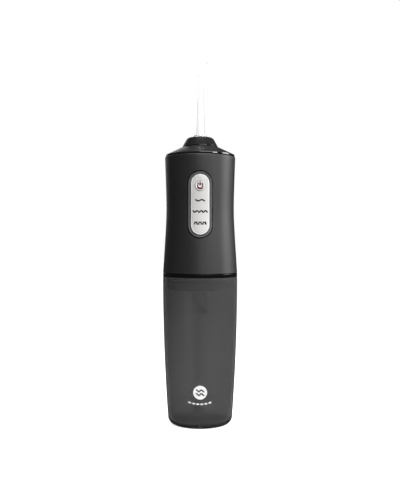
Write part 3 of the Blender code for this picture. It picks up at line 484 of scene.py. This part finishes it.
def make_looks():
    """Every material of the object, by name: colour, roughness, and what else differs."""
    recipes = {
        "smoke_plastic": dict(colour=(0.243, 0.241, 0.243), roughness=0.26, transmission=0.83,
                              specular=0.03, ior=1.12, variation=0.02, bump=0.0,
                              rough_spread=0.01, absorption=0.1),
        "soft_black": dict(colour=(0.021, 0.02, 0.0203), roughness=0.46, variation=0.1,
                           grain=5200, bump=0.2, rough_spread=0.04),
        "gloss_black": dict(colour=(0.003, 0.003, 0.0032), roughness=0.08, specular=0.35,
                            variation=0.1, cloud=25, bump=0.01, rough_spread=0.02),
        # A darker, glossier copy of the black plastic: partly real gloss, partly painted shade on
        # the cap's lip and the collar's foot.
        "gloss_and_painted_shade_black": dict(colour=(0.003, 0.003, 0.0032), roughness=0.05, specular=1.0,
                               variation=0.1, cloud=25, bump=0.0, rough_spread=0.02),
        "satin_black": dict(colour=(0.027, 0.027, 0.028), roughness=0.3, specular=0.08, coat=0.04,
                            variation=0.06, cloud=25, bump=0.03, rough_spread=0.03),
        "collar_black": dict(colour=(0.018, 0.018, 0.019), roughness=0.3, specular=0.07,
                             variation=0.06, cloud=25, bump=0.02, rough_spread=0.03),
        "plug_grey": dict(colour=(0.45, 0.45, 0.45), roughness=0.5, variation=0.05, bump=0.1),
        "silver_grey": dict(colour=(0.78, 0.775, 0.77), roughness=0.38, metallic=0.1,
                            variation=0.02, grain=6000, bump=0.1),
        # Near-white that paints the highlight along the panel's bevel.
        "painted_highlight_white": dict(colour=(0.98, 0.98, 0.98), roughness=0.2, variation=0.02, bump=0.02),
        "white_plastic": dict(colour=(0.96, 0.96, 0.955), roughness=0.28, variation=0.02,
                              bump=0.04),
        "frosted_white": dict(colour=(0.97, 0.97, 0.97), roughness=0.4, transmission=0.75,
                              specular=0.2, variation=0.02, bump=0.02),
        "clear_plastic": dict(colour=(0.95, 0.955, 0.955), roughness=0.03, transmission=1.0,
                              ior=1.55, variation=0.005, bump=0.001, rough_spread=0.01,
                              absorption=0.015),
        "clear_hose": dict(colour=(0.8, 0.8, 0.8), roughness=0.1, transmission=1.0, specular=0.2,
                           variation=0.01, bump=0.01, rough_spread=0.02),
        "grey_abs": dict(colour=(0.15, 0.15, 0.152), roughness=0.42, variation=0.1, bump=0.08),
        "black_rubber": dict(colour=(0.018, 0.018, 0.018), roughness=0.7, variation=0.15,
                             bump=0.3, grain=3500),
        "steel": dict(colour=(0.56, 0.56, 0.57), roughness=0.3, metallic=1.0, bump=0.1,
                      stretch=(1, 1, 12)),
        "brass": dict(colour=(0.62, 0.45, 0.19), roughness=0.28, metallic=1.0, variation=0.1,
                      bump=0.1),
        "nylon": dict(colour=(0.72, 0.71, 0.67), roughness=0.42, variation=0.05, bump=0.12),
        "board_green": dict(colour=(0.015, 0.13, 0.05), roughness=0.3, variation=0.25, cloud=400,
                            bump=0.2, grain=1500),
        "cell_wrap": dict(colour=(0.04, 0.16, 0.38), roughness=0.25),
        "symbol_red": dict(colour=(0.1, 0.001, 0.001), roughness=0.5, specular=0.1,
                           variation=0.06),
        "print_dark": dict(colour=(0.004, 0.004, 0.004), roughness=0.6, specular=0.1,
                           variation=0.1),
        "print_white": dict(colour=(0.97, 0.97, 0.97), roughness=0.5, variation=0.03),
        "print_grey": dict(colour=(0.25, 0.25, 0.25), roughness=0.45, variation=0.05),
    }
    looks = {name: surface(name, **recipe) for name, recipe in recipes.items()}
    add_wear(looks["soft_black"], (0.04, 0.04, 0.04))
    return looks


LOOKS = make_looks()


# ---- Tank -----------------------------------------------------------------------------------

def make_tank():
    """The smoky cup, with its round base, soft lip, filling hole and hinge lugs."""
    look = LOOKS["smoke_plastic"]
    base = tank_radius(TANK_CORNER) - TANK_CORNER
    lip = TANK_TOP - TANK_LIP
    outline = [(0, 0)] + arc((base, TANK_CORNER), TANK_CORNER, -90, 0, 12)
    outline += [(tank_radius(z), z) for z in spread(TANK_CORNER, lip, 40)[1:]]
    outline += arc((SHELL_RADIUS - TANK_LIP, lip), TANK_LIP, 25, 90, 4)
    outline += arc((SHELL_RADIUS - TANK_WALL + TANK_LIP, lip), TANK_LIP, 90, 180, 4)
    outline += [(tank_radius(z) - TANK_WALL, z) for z in spread(TANK_TOP - 1, TANK_CORNER + 2, 30)]
    inner = TANK_CORNER - TANK_WALL
    outline += arc((base, TANK_FLOOR + inner), inner, 0, -90, 8)
    outline += [(0, TANK_FLOOR)]
    tank = turned("tank_shell", outline, look, steps=160)
    hole = rounded_loop(DOOR_WIDTH, DOOR_HEIGHT, DOOR_CORNER, DOOR_MIDDLE, 6, 4)
    combine(tank, extruded("hole", hole, SHELL_RADIUS - 10, SHELL_RADIUS + 10, look))
    y, z = DOOR_AXIS.yz
    for side in (-1, 1):
        near, far = side * 4.4, side * 6.4
        combine(tank, rod("lug", KNUCKLE_RADIUS, (near, y, z), (far, y, z), look, 0.2), "UNION")
        low, high = sorted((near, far))
        web = block("web", (low + 0.01, y - 3.4, z - 1.15), (high - 0.01, y, z + 0.6), look)
        combine(tank, web, "UNION")
    drill(tank, KNUCKLE_BORE, (-7, y, z), (7, y, z))
    place(tank, "tank", "tank", slot="smoke_plastic")


def make_fill_door():
    """The filling door with its knuckle and thumb lip, its seal and the hinge pin."""
    look = LOOKS["smoke_plastic"]
    width, height = DOOR_WIDTH - 2 * DOOR_GAP, DOOR_HEIGHT - 2 * DOOR_GAP
    corner = DOOR_CORNER - DOOR_GAP

    def ring(grow, offset):
        loop = rounded_loop(width + 2 * grow, height + 2 * grow, corner + grow, DOOR_MIDDLE, 8, 10)
        return loop, offset

    # The back of the plate nearly fills the hole, so no light shows round it
    sill = DOOR_GAP - 0.12
    rings = [ring(-2.6, -1.5), ring(sill - 0.15, -1.5), ring(sill, -1.35), ring(sill, -0.9),
             ring(0, -0.8), ring(0, -0.35), ring(-0.1, -0.1), ring(-0.35, 0), ring(-2.6, 0)]
    door = wrapped("fill_door_plate", rings, tank_radius, look, REAR)
    y, z = DOOR_AXIS.yz
    parts = [rod("knuckle", KNUCKLE_RADIUS, (-4, y, z), (4, y, z), look, 0.2),
             block("strap", (-3.6, y - 1.3, z), (3.6, y + 0.6, z + 4.2), look, 0.3),
             block("root", (-3.2, y - 2.8, z + 2.2), (3.2, y, z + 3.9), look)]
    lip = rounded_loop(7.8, 1.6, 0.7, DOOR_MIDDLE + height / 2 - 2.2, 5, 2)
    parts.append(extruded("thumb_lip", lip, y - 2.8, y - 0.6, look))
    for part in parts:
        combine(door, part, "UNION")
    drill(door, KNUCKLE_BORE, (-7, y, z), (7, y, z))
    place(door, "fill_door", "fill_door", slot="smoke_plastic")

    def seal_ring(inset, offset):
        loop = rounded_loop(width - 2 * inset, height - 2 * inset, 3.4 - inset, DOOR_MIDDLE, 6, 8)
        return loop, offset

    section = [seal_ring(inset, offset) for inset, offset in
               ((1.2, -1.85), (1.2, -2.5), (1.5, -2.8), (2.1, -2.8), (2.4, -2.5), (2.4, -1.85))]
    seal = wrapped("fill_door_gasket", section, tank_radius, look, REAR, "loop")
    place(seal, "fill_door", "fill_door_seal", slot="smoke_plastic")
    pin = rod("hinge_pin", 0.6, (PIN_LOW.x, y, z), (PIN_HIGH.x, y, z), LOOKS["steel"], 0.25)
    place(pin, "tank", "fill_door_pin", slot="steel")


def make_tank_mark():
    """A plain round badge with two waves, and a curved dashed rule under it, on the tank."""
    look = LOOKS["print_white"]

    def disc(reach):
        turns = (math.tau * (i + 0.5) / 48 for i in range(48))
        return [(reach * math.sin(a), BADGE_MIDDLE + reach * math.cos(a)) for a in turns]

    reaches = [BADGE_RADIUS * i / 6 for i in range(1, 7)]
    rings = [(disc(reach), 0.02) for reach in reaches]
    rings += [(disc(reach), 0.07) for reach in reversed(reaches)]
    badge = wrapped("tank_badge", rings, tank_radius, look)
    place(badge, "tank", slot="white_plastic")
    for row, rise in enumerate((1.4, -1.4)):
        half = math.sqrt(BADGE_RADIUS ** 2 - rise ** 2) - 1.9
        path = [(x, BADGE_MIDDLE + rise + 0.7 * math.sin(x * 1.7)) for x in spread(-half, half, 28)]
        wave = stroke(f"tank_badge_wave_{row + 1}", path, 1.0, tank_radius, LOOKS["print_dark"],
                      lift=0.08)
        place(wave, "tank", slot="black_rubber")
    rule = [(x, BADGE_MIDDLE - 9.0 + 0.018 * x * x) for x in spread(-9, 9, 36)]
    for i in range(6):
        dash = stroke(f"tank_badge_dash_{i + 1}", rule[6 * i:6 * i + 5], 1.1, tank_radius, look)
        place(dash, "tank", slot="white_plastic")


# ---- Shells of the handle -------------------------------------------------------------------

def make_lower_plug():
    """The gloss band and its spigots, with the groove for the sealing ring."""
    spigot, groove, collar, bore = 26.2, 25.5, 26.6, 24.8
    low, high, inner_floor = PLUG_LOW.z, PLUG_HIGH.z, PLUG_LOW.z + 3
    seal_height = middle_of("tank_seal").z
    groove_low, groove_high = seal_height - 1.2, seal_height + 1.2
    outline = softened([
        (0, low), (spigot, low, 0.8), (spigot, groove_low), (groove, groove_low),
        (groove, groove_high), (spigot, groove_high), (spigot, BAND_BOTTOM, 0.2),
        (PLUG_HIGH.x, BAND_BOTTOM, 0.25), (PLUG_HIGH.x, BAND_TOP, 0.25), (collar, BAND_TOP),
        (collar, high, 0.5), (bore, high, 0.5), (bore, inner_floor, 0.6), (0, inner_floor)])
    plug = turned("sealing_band", outline, LOOKS["gloss_black"], steps=160)
    change_below(plug, BAND_BOTTOM + 0.01, LOOKS["plug_grey"])
    centre = middle_of("pickup_tube")
    drill(plug, 2.8, (*centre.xy, low - 6), (*centre.xy, inner_floor + 6))
    place(plug, "handle", "lower_plug", slot="gloss_black")
    seal = torus("tank_o_ring", 26.6, 0.8, seal_height, LOOKS["plug_grey"])
    place(seal, "handle", "tank_seal", slot="black_rubber")


def make_housing():
    """The waisted sleeve, opened for the panel and the charging port."""
    look = LOOKS["soft_black"]
    top, bottom = HOUSING_HIGH.z, HOUSING_LOW.z
    shoulder = top - HOUSING_EDGE
    outline = [(housing_radius(bottom) - 0.25, bottom)]
    outline += [(housing_radius(z), z) for z in spread(bottom + 0.25, shoulder, 60)]
    outline += arc((housing_radius(shoulder) - HOUSING_EDGE, shoulder), HOUSING_EDGE, 15, 90, 6)
    outline += [(housing_radius(z) - HOUSING_WALL, z) for z in spread(top, bottom, 24)]
    housing = turned("housing_sleeve", outline, look, steps=192)
    opening = stadium(BEZEL_WIDTH + 2 * GAP, BEZEL_HEIGHT + 2 * GAP, PANEL_MIDDLE)
    combine(housing, extruded("opening", opening, -40, -15, look))
    port = rounded_loop(PORT_WIDTH, PORT_TALL, PORT_CORNER, COVER_AXIS.z, 6, 4)
    combine(housing, extruded("port", port, 15, 40, look))
    half_barrel = Vector((0, 0, 2.3))
    drill(housing, 1.2, COVER_AXIS - half_barrel, COVER_AXIS + half_barrel)
    place(housing, "handle", "housing", slot="soft_black")


def make_top_cap():
    """The satin flare with its gloss lip, darker than the flare as painted shade in the gap above
    the housing, and the small index dot in front of the collar.
    """
    spigot, groove, bore = 25.6, 24.5, 23.4
    socket, socket_bore = 8.6, 6.0
    low, lip, inner_roof = CAP_LOW.z, CAP_BOTTOM + CAP_LIP, 214.4
    outline = softened([
        (spigot, CAP_BOTTOM), (CAP_RADIUS, CAP_BOTTOM, 0.25), (CAP_RADIUS, lip, 0.2),
        (SLOPE_TOP, CAP_TOP - 0.05, 0.5), (socket, CAP_TOP, 0.3), (socket, SOCKET_TOP, 0.4),
        (socket_bore, SOCKET_TOP, 0.4), (socket_bore, inner_roof), (12, inner_roof),
        (bore, low + 4.5), (bore, low, 0.4), (spigot, low, 0.4), (spigot, low + 2.1),
        (groove, low + 2.1), (groove, low + 3.7), (spigot, low + 3.7)])
    cap = turned("cap_flare", outline, LOOKS["satin_black"], steps=160)
    # The lip is the flare's own plastic; its darker copy paints the shade line above the housing,
    # and its gloss catches the lamps.
    change_below(cap, lip - 0.25, LOOKS["gloss_and_painted_shade_black"])
    middle = release_middle()
    drill(cap, 3.65, middle - 12 * RELEASE_AIM, middle + 12 * RELEASE_AIM)
    place(cap, "handle", "top_cap", slot="gloss_black")
    reach = NECK_RADIUS + 6.2
    height = CAP_TOP - CAP_SLOPE * (reach - SLOPE_TOP)
    outline = softened([(0, -0.1), (0.55, -0.1), (0.55, 0.12, 0.1), (0, 0.12)])
    dot = turned_along("index_dot", outline, LOOKS["print_grey"], (-0.6, -reach, height),
                       (0, -CAP_SLOPE, 1), steps=24)
    place(dot, "handle", slot="silver_grey")


def release_middle():
    """Middle of the release button, where its axis meets the cap's slope."""
    slope = math.tan(math.asin(RELEASE_AIM.y))
    height = CAP_TOP - (RELEASE_REACH - NECK_RADIUS) * slope
    return Vector((middle_of("release_button").x, RELEASE_REACH, height))


def make_release_button():
    """A round, slightly dished button on a thin stem, set square to the cap's slope."""
    outline = softened([(0, -4.6), (1.2, -4.6), (1.2, -3.2), (3.3, -3.2, 0.2), (3.3, 0.8, 0.5),
                        (2.0, 0.75), (0, 0.6)])
    button = turned_along("release_cap", outline, LOOKS["satin_black"], release_middle(),
                          RELEASE_AIM)
    place(button, "release_button", "release_button", slot="gloss_black")


# ---- Control panel --------------------------------------------------------------------------

def framed(profile):
    """Rings round the panel: each (grow, offset) of the profile grows it and lifts it."""
    return [(stadium(PANEL_WIDTH + 2 * grow, PANEL_HEIGHT + 2 * grow, PANEL_MIDDLE), offset)
            for grow, offset in profile]


def make_panel():
    """The sloping bezel, and the silver panel with a white rim round it that paints the highlight
    of its bevel.
    """
    outer = (BEZEL_WIDTH - PANEL_WIDTH) / 2 - GAP
    bezel_profile = [(GAP, -3.0), (GAP, -1.9), (0.45, -1.75), (0.7, -1.7), (outer - 0.55, -0.5),
                     (outer - 0.35, -0.3), (outer - 0.15, -0.3), (outer, -0.45), (outer, -3.0)]
    bezel = wrapped("bezel_ring", framed(bezel_profile), housing_radius, LOOKS["grey_abs"],
                    closed="loop")
    place(bezel, "handle", "panel_bezel", slot="grey_abs")

    # A white ring round the face in place of the bright highlight on the panel's bevel: a painted
    # highlight.
    rim_profile = [(0, -2.2), (0, -0.25), (-0.12, 0.02), (-0.35, 0.1), (-0.7, 0.1), (-0.95, -0.02),
                   (-0.98, -2.2)]
    rim = wrapped("panel_highlight_rim", framed(rim_profile), housing_radius, LOOKS["painted_highlight_white"],
                  closed="loop")
    place(rim, "handle", slot="white_plastic")

    face_profile = [(-4, -2.1), (-1, -2.1), (-1, -0.06), (-1.1, -0.02), (-2, -0.02), (-3.5, -0.02),
                    (-5, -0.02), (-6.4, -0.02)]
    face = wrapped("panel_face", framed(face_profile), housing_radius, LOOKS["silver_grey"])
    drill(face, BUTTON_RADIUS + 0.35, (0, -40, BUTTON_MIDDLE), (0, -15, BUTTON_MIDDLE), steps=64)
    place(face, "handle", "control_panel", slot="silver_grey")


def make_mode_marks():
    """Three pictograms in place of words: one wave, a taller run of waves, and square pulses."""
    def waves(width, swing, turns):
        return [(x, swing * math.sin(math.tau * turns * x / width))
                for x in spread(-width / 2, width / 2, int(14 * turns))]

    foot, crest, reach = -0.6, 0.75, 4.9
    pulses = [(-reach, foot)]
    for left in (-4.1, -0.9, 2.3):
        right = left + 1.7
        pulses += [(left, foot), (left, crest), (right, crest), (right, foot)]
    pulses.append((reach, foot))
    drawn = [("mode_mark_soft", waves(7.6, 0.5, 1.5), 1.0),
             ("mode_mark_normal", waves(11.4, 0.6, 3.5), 1.0),
             ("mode_mark_pulse", pulses, 0.85)]
    for (name, outline, width), height in zip(drawn, MODE_HEIGHTS):
        path = [(x, height + 0.5 + z) for x, z in outline]
        mark = stroke(name, path, width, housing_radius, LOOKS["print_dark"], -0.01, 0.04)
        place(mark, "handle", slot="black_rubber")


def make_power_button():
    """A dished white button with a red ring and bar on it."""
    front = BUTTON_LOW.y
    flange, stem = BUTTON_RADIUS + 1, 1.3
    outline = softened([(0, 0.25), (1.5, 0.2), (2.8, 0.05), (BUTTON_RADIUS, 0, 0.5),
                        (BUTTON_RADIUS, 3.4), (flange, 3.4, 0.15), (flange, 3.9, 0.15), (stem, 3.9),
                        (stem, 4.5, 0.2), (0, 4.5)], 6)
    button = turned_along("power_cap", outline, LOOKS["white_plastic"], (0, front, BUTTON_MIDDLE),
                          (0, 1, 0), 64)
    place(button, "power_button", "power_button", slot="white_plastic")

    def flat(z):
        return -front

    look = LOOKS["symbol_red"]
    middle = BUTTON_MIDDLE + 0.2
    ring = arc((0, middle), 2.25, 60, -240, 48)
    bar = [(0, middle + z) for z in spread(0.1, 3.1, 4)]
    strokes = [stroke("power_symbol_line", path, width, flat, look, lift=-0.4, thick=0.42)
               for path, width in ((ring, 1.4), (bar, 1.0))]
    symbol = merged("power_symbol", strokes, look)
    place(symbol, "power_button", slot="white_plastic")


# ---- Charging port --------------------------------------------------------------------------

def make_charge_port():
    """The charging socket, and the rubber cover with its strap and barrel."""
    z = COVER_AXIS.z
    socket = block("port_shell", SOCKET_LOW, SOCKET_HIGH, LOOKS["steel"], 0.5)
    slot = rounded_loop(6.6, 2.4, 1.15, z, 8, 2)
    combine(socket, extruded("slot", slot, 23.4, 27, LOOKS["steel"]))
    place(socket, "handle", "charge_socket", slot="steel")

    def ring(inset, offset):
        width, height = PORT_WIDTH - 2 * inset, PORT_TALL - 2 * inset
        return rounded_loop(width, height, PORT_CORNER - inset, z, 6, 6), offset

    rings = [ring(1.5, -1.6), ring(0.6, -1.6), ring(0.4, -1.4), ring(0.4, -0.3), ring(0.7, 0),
             ring(1.5, 0)]
    look = LOOKS["black_rubber"]
    cover = wrapped("port_cover", rings, housing_radius, look, REAR)
    x, y = COVER_AXIS.xy
    strap = block("strap", (x, y + 0.15, z - 1.2), (x + 3.2, y + 0.8, z + 1.2), look, 0.15)
    combine(cover, strap, "UNION")
    combine(cover, rod("barrel", 0.85, (x, y, z - 1.7), (x, y, z + 1.7), look, 0.2), "UNION")
    place(cover, "charge_port_cover", "charge_port_cover", slot="black_rubber")


# ---- Nozzle ---------------------------------------------------------------------------------

def make_collar():
    """The turning collar: a steep hollow cone with a rounded shoulder and a low boss."""
    low, top = COLLAR_LOW.z, COLLAR_HIGH.z
    lip = low + 0.45
    bore, hollow, roof = 4.3, 9.0, SOCKET_TOP + 0.4
    outline = softened([
        (NECK_RADIUS - 0.2, low), (NECK_RADIUS, low + 0.2, 0.15), (NECK_RADIUS - 0.1, lip),
        (10.6, top - 1.0, 1.4), (8.3, top - 0.1, 1.6), (5.7, top - 0.1), (5.4, top),
        (bore, top, 0.2), (bore, roof), (hollow, roof), (hollow, low)], 6)
    collar = turned("collar_cone", outline, LOOKS["collar_black"], steps=160)
    # The collar's foot gets the darker, glossier copy too: painted shade along its lower edge, with
    # glints from the lamps.
    change_below(collar, lip, LOOKS["gloss_and_painted_shade_black"])
    place(collar, "nozzle_collar", "nozzle_collar", slot="gloss_black")


def swept(name, stations, look, steps=48):
    """A hollow round bar along (point, outer radius, bore radius) stations in the XZ plane."""
    points = [Vector((x, 0, z)) for (x, z), _, _ in stations]
    across = Vector((0, 1, 0))
    shape = bmesh.new()
    walls = ([], [])
    for i, (_, outer, bore) in enumerate(stations):
        along = (points[min(i + 1, len(points) - 1)] - points[max(i - 1, 0)]).normalized()
        up = along.cross(across)
        for wall, radius in zip(walls, (outer, bore)):
            spokes = [across * math.cos(math.tau * k / steps) + up * math.sin(math.tau * k / steps)
                      for k in range(steps)]
            wall.append([shape.verts.new(points[i] + radius * spoke) for spoke in spokes])
    for wall in walls:
        for first, second in zip(wall, wall[1:]):
            bridge(shape, first, second)
    for end in (0, -1):
        bridge(shape, walls[0][end], walls[1][end])
    return make_object(name, shape, look)


def make_jet_tip():
    """The clear tip: stem, shoulder, long taper, smooth bend and drawn-in point."""
    lean = math.radians(27)
    bend_start, bend_radius = 274.5, 9.0
    flange, shoulder = 229.6, 222.2
    root_radius, bend_root, bore = 3.95, 1.95, 0.7
    profile = [(TIP_LOW.z, 2.0), (TIP_LOW.z + 0.3, 2.2), (shoulder, 2.2), (shoulder + 0.4, 2.6),
               (shoulder + 0.7, 3.5), (shoulder + 1.2, 3.7), (flange - 0.4, 3.7),
               (flange - 0.1, 3.8), (flange, root_radius), (flange + 0.5, root_radius + 0.03)]
    taper = [(z, root_radius - 2.0 * ((z - flange) / (bend_start - flange)) ** 0.95)
             for z in spread(flange + 1.5, bend_start, 24)]
    stations = [((0, z), radius, bore) for z, radius in profile + taper]
    for turn in spread(0, lean, 12)[1:]:
        spot = (bend_radius * (1 - math.cos(turn)), bend_start + bend_radius * math.sin(turn))
        stations.append((spot, bend_root - 0.25 * turn / lean, bore))
    elbow = Vector(stations[-1][0])
    aim = Vector((math.sin(lean), math.cos(lean)))
    point = ((1.6, 1.62), (3.8, 1.48), (6.6, 1.36), (9.1, 1.27), (9.35, 1.2), (9.45, 1.05))
    for reach, radius in point:
        stations.append((tuple(elbow + aim * reach), radius, bore))
    tip = swept("tip_tube", stations, LOOKS["clear_plastic"])
    place(tip, "jet_tip", "jet_tip", slot="clear_plastic")
    inner, outer = 4.05, RING_HIGH.x
    outline = softened([(inner, RING_LOW.z), (outer - 0.1, RING_LOW.z, 0.15),
                        (outer, flange - 1.2, 0.4), (outer - 0.2, RING_HIGH.z, 0.3),
                        (inner, RING_HIGH.z, 0.2)])
    ring = turned("tip_ring", outline, LOOKS["frosted_white"], steps=96)
    place(ring, "jet_tip", "jet_tip_ring", slot="white_plastic")


# ---- What shows through the tank ------------------------------------------------------------

def make_pickup():
    """The pickup tube, and its strainer with six holes round it."""
    centre = middle_of("pickup_tube")
    bore, outer = 1.5, 2.5
    outline = softened([(bore, PICKUP_LOW.z), (outer, PICKUP_LOW.z, 0.2),
                        (outer, PICKUP_HIGH.z, 0.2), (bore, PICKUP_HIGH.z)])
    tube = turned("pickup_pipe", outline, LOOKS["clear_hose"], centre.xy, steps=48)
    place(tube, "handle", "pickup_tube", slot="clear_plastic")
    low, high, seat = STRAINER_LOW.z, STRAINER_HIGH.z, STRAINER_LOW.z + 2.1
    mouth, socket, cup = 1.0, 2.85, 4.2
    outline = softened([(mouth, low), (cup, low, 0.5), (cup, high, 0.5), (socket, high, 0.2),
                        (socket, seat), (mouth, seat)])
    strainer = turned("strainer_cup", outline, LOOKS["clear_hose"], centre.xy, steps=64)
    for turn in (math.tau * i / 6 for i in range(6)):
        aim = Vector((math.cos(turn), math.sin(turn), 0))
        start = Vector((centre.x, centre.y, low + 4.5)) + aim * 3.0
        drill(strainer, 0.55, start, start + aim * 3, steps=16)
    place(strainer, "handle", "pickup_filter", slot="clear_plastic")


def dress_hidden_nodes():
    """Every CAD node that stays gets its slot's procedural material."""
    slots = {part["node"]: part["material_slot"] for part in frame["record"]["subparts"]}
    for name, node in frame["nodes"].items():
        node.data.materials.clear()
        node.data.materials.append(LOOKS[slots[name]])


# ---- Studio ---------------------------------------------------------------------------------

def area_light(name, spot, target, size, power, colour=(1, 1, 1), beam=180):
    """A soft box aimed at a target; beam is how wide its grid lets light out, in degrees."""
    data = bpy.data.lights.new(name, "AREA")
    data.shape = "RECTANGLE"
    data.size, data.size_y = size
    data.energy = power
    data.spread = math.radians(beam)
    data.color = colour
    lamp = bpy.data.objects.new(name, data)
    lamp.location = spot
    lamp.rotation_euler = (Vector(target) - Vector(spot)).to_track_quat("-Z", "Y").to_euler()
    bpy.context.collection.objects.link(lamp)
    return lamp


def make_floor():
    """A pale, evenly lit floor that runs out of sight, with a painted contact shadow where the tank
    stands on it.
    """
    shape = bmesh.new()
    bmesh.ops.create_grid(shape, x_segments=1, y_segments=1, size=6000)
    look = surface("floor", (0.9, 0.9, 0.9), 0.8, specular=0.1, variation=0.01, cloud=4, bump=0.0)
    tree = look.node_tree
    shader = tree.nodes["Principled BSDF"]
    shader.inputs["Emission Color"].default_value = (1, 1, 1, 1)
    coords = tree.nodes.new("ShaderNodeTexCoord")
    reach = tree.nodes.new("ShaderNodeVectorMath")
    reach.operation = "LENGTH"
    # Emission falls to a tenth inside the tank's foot: a painted contact shadow, seen only through
    # the tank.
    glow_with_painted_shadow = tree.nodes.new("ShaderNodeMapRange")
    glow_with_painted_shadow.interpolation_type = "SMOOTHSTEP"
    glow_with_painted_shadow.inputs["From Min"].default_value = (tank_radius(0) - 4) * MM
    glow_with_painted_shadow.inputs["From Max"].default_value = (tank_radius(0) - 1) * MM
    glow_with_painted_shadow.inputs["To Min"].default_value = 0.1
    tree.links.new(coords.outputs["Object"], reach.inputs[0])
    tree.links.new(reach.outputs["Value"], glow_with_painted_shadow.inputs["Value"])
    tree.links.new(glow_with_painted_shadow.outputs["Result"], shader.inputs["Emission Strength"])
    floor = make_object("floor", shape, look)
    floor.visible_glossy = False
    floor.visible_diffuse = False


def make_world():
    """White where it is seen, and for reflections a room that darkens from front to back."""
    world = bpy.data.worlds.new("studio")
    bpy.context.scene.world = world
    world.use_nodes = True
    tree = world.node_tree
    new = tree.nodes.new
    link = tree.links.new
    white = tree.nodes["Background"]
    white.inputs["Color"].default_value = (1, 1, 1, 1)
    coords = new("ShaderNodeTexCoord")
    split = new("ShaderNodeSeparateXYZ")
    link(coords.outputs["Generated"], split.inputs[0])
    depth = new("ShaderNodeMapRange")
    depth.inputs["From Min"].default_value = -1.0
    link(split.outputs["Y"], depth.inputs["Value"])
    ramp = new("ShaderNodeValToRGB")
    stops = ramp.color_ramp.elements
    stops[1].position = 0.99
    for middle in (0.5, 0.9):
        stops.new(middle)
    for stop, level in zip(stops, (ROOM_FRONT, ROOM_SIDE, ROOM_BACK, 0)):
        stop.color = (level, level, level, 1)
    link(depth.outputs["Result"], ramp.inputs["Fac"])
    room = new("ShaderNodeBackground")
    link(ramp.outputs["Color"], room.inputs["Color"])
    path = new("ShaderNodeLightPath")
    seen = new("ShaderNodeMath")
    seen.operation = "MAXIMUM"
    link(path.outputs["Is Camera Ray"], seen.inputs[0])
    link(path.outputs["Is Transmission Ray"], seen.inputs[1])
    mix = new("ShaderNodeMixShader")
    link(seen.outputs[0], mix.inputs["Fac"])
    link(room.outputs[0], mix.inputs[1])
    link(white.outputs[0], mix.inputs[2])
    link(mix.outputs[0], tree.nodes["World Output"].inputs["Surface"])


def make_studio():
    """Floor, room and six soft boxes.

    The key rakes the right side, the fill grazes the tank's left foot, the back lights the rear,
    the front and top light the panel and cap, and the sparkle makes the two glints on the cap.
    """
    make_floor()
    make_world()
    middle = (0, 0, 0.15)
    area_light("key_right", spot=(0.62, 0.04, 0.37), target=(0, 0, 0.2), size=(0.42, 0.45),
               power=0.46, beam=50)
    fill = area_light("tank_fill", spot=(-0.45, -0.55, 0.03), target=(0, 0, 0.03),
                      size=(0.2, 0.05), power=0.025, beam=15)
    fill.visible_glossy = False
    area_light("back", spot=(-0.35, 0.8, 0.5), target=middle, size=(0.6, 0.6), power=1.2)
    area_light("front", spot=(0.3, -0.85, 0.75), target=middle, size=(0.8, 0.8), power=10.0,
               colour=(1.0, 0.985, 0.975))
    area_light("top", spot=(0.0, -0.05, 0.95), target=middle, size=(0.5, 0.5), power=3.5)
    area_light("sparkle", spot=(0.6, -0.52, 0.31), target=(0, 0, 0.21), size=(0.22, 0.06),
               power=0.9)


def make_camera():
    """A level camera in front of the panel, a little higher than the foot of the housing."""
    distance = 560.0
    height = 141.8
    view_height = 391.2
    data = bpy.data.cameras.new("camera")
    data.sensor_width = 36.0
    data.lens = data.sensor_width * distance / view_height
    camera = bpy.data.objects.new("camera", data)
    camera.location = Vector((-0.1, -distance, height)) * MM
    camera.rotation_euler = (math.pi / 2, 0, 0)
    bpy.context.collection.objects.link(camera)
    bpy.context.scene.camera = camera
    bpy.context.scene.view_settings.view_transform = "Standard"


def main():
    make_camera()
    dress_hidden_nodes()
    make_tank()
    make_fill_door()
    make_tank_mark()
    make_lower_plug()
    make_housing()
    make_top_cap()
    make_release_button()
    make_panel()
    make_mode_marks()
    make_power_button()
    make_charge_port()
    make_collar()
    make_jet_tip()
    make_pickup()
    make_studio()


main()
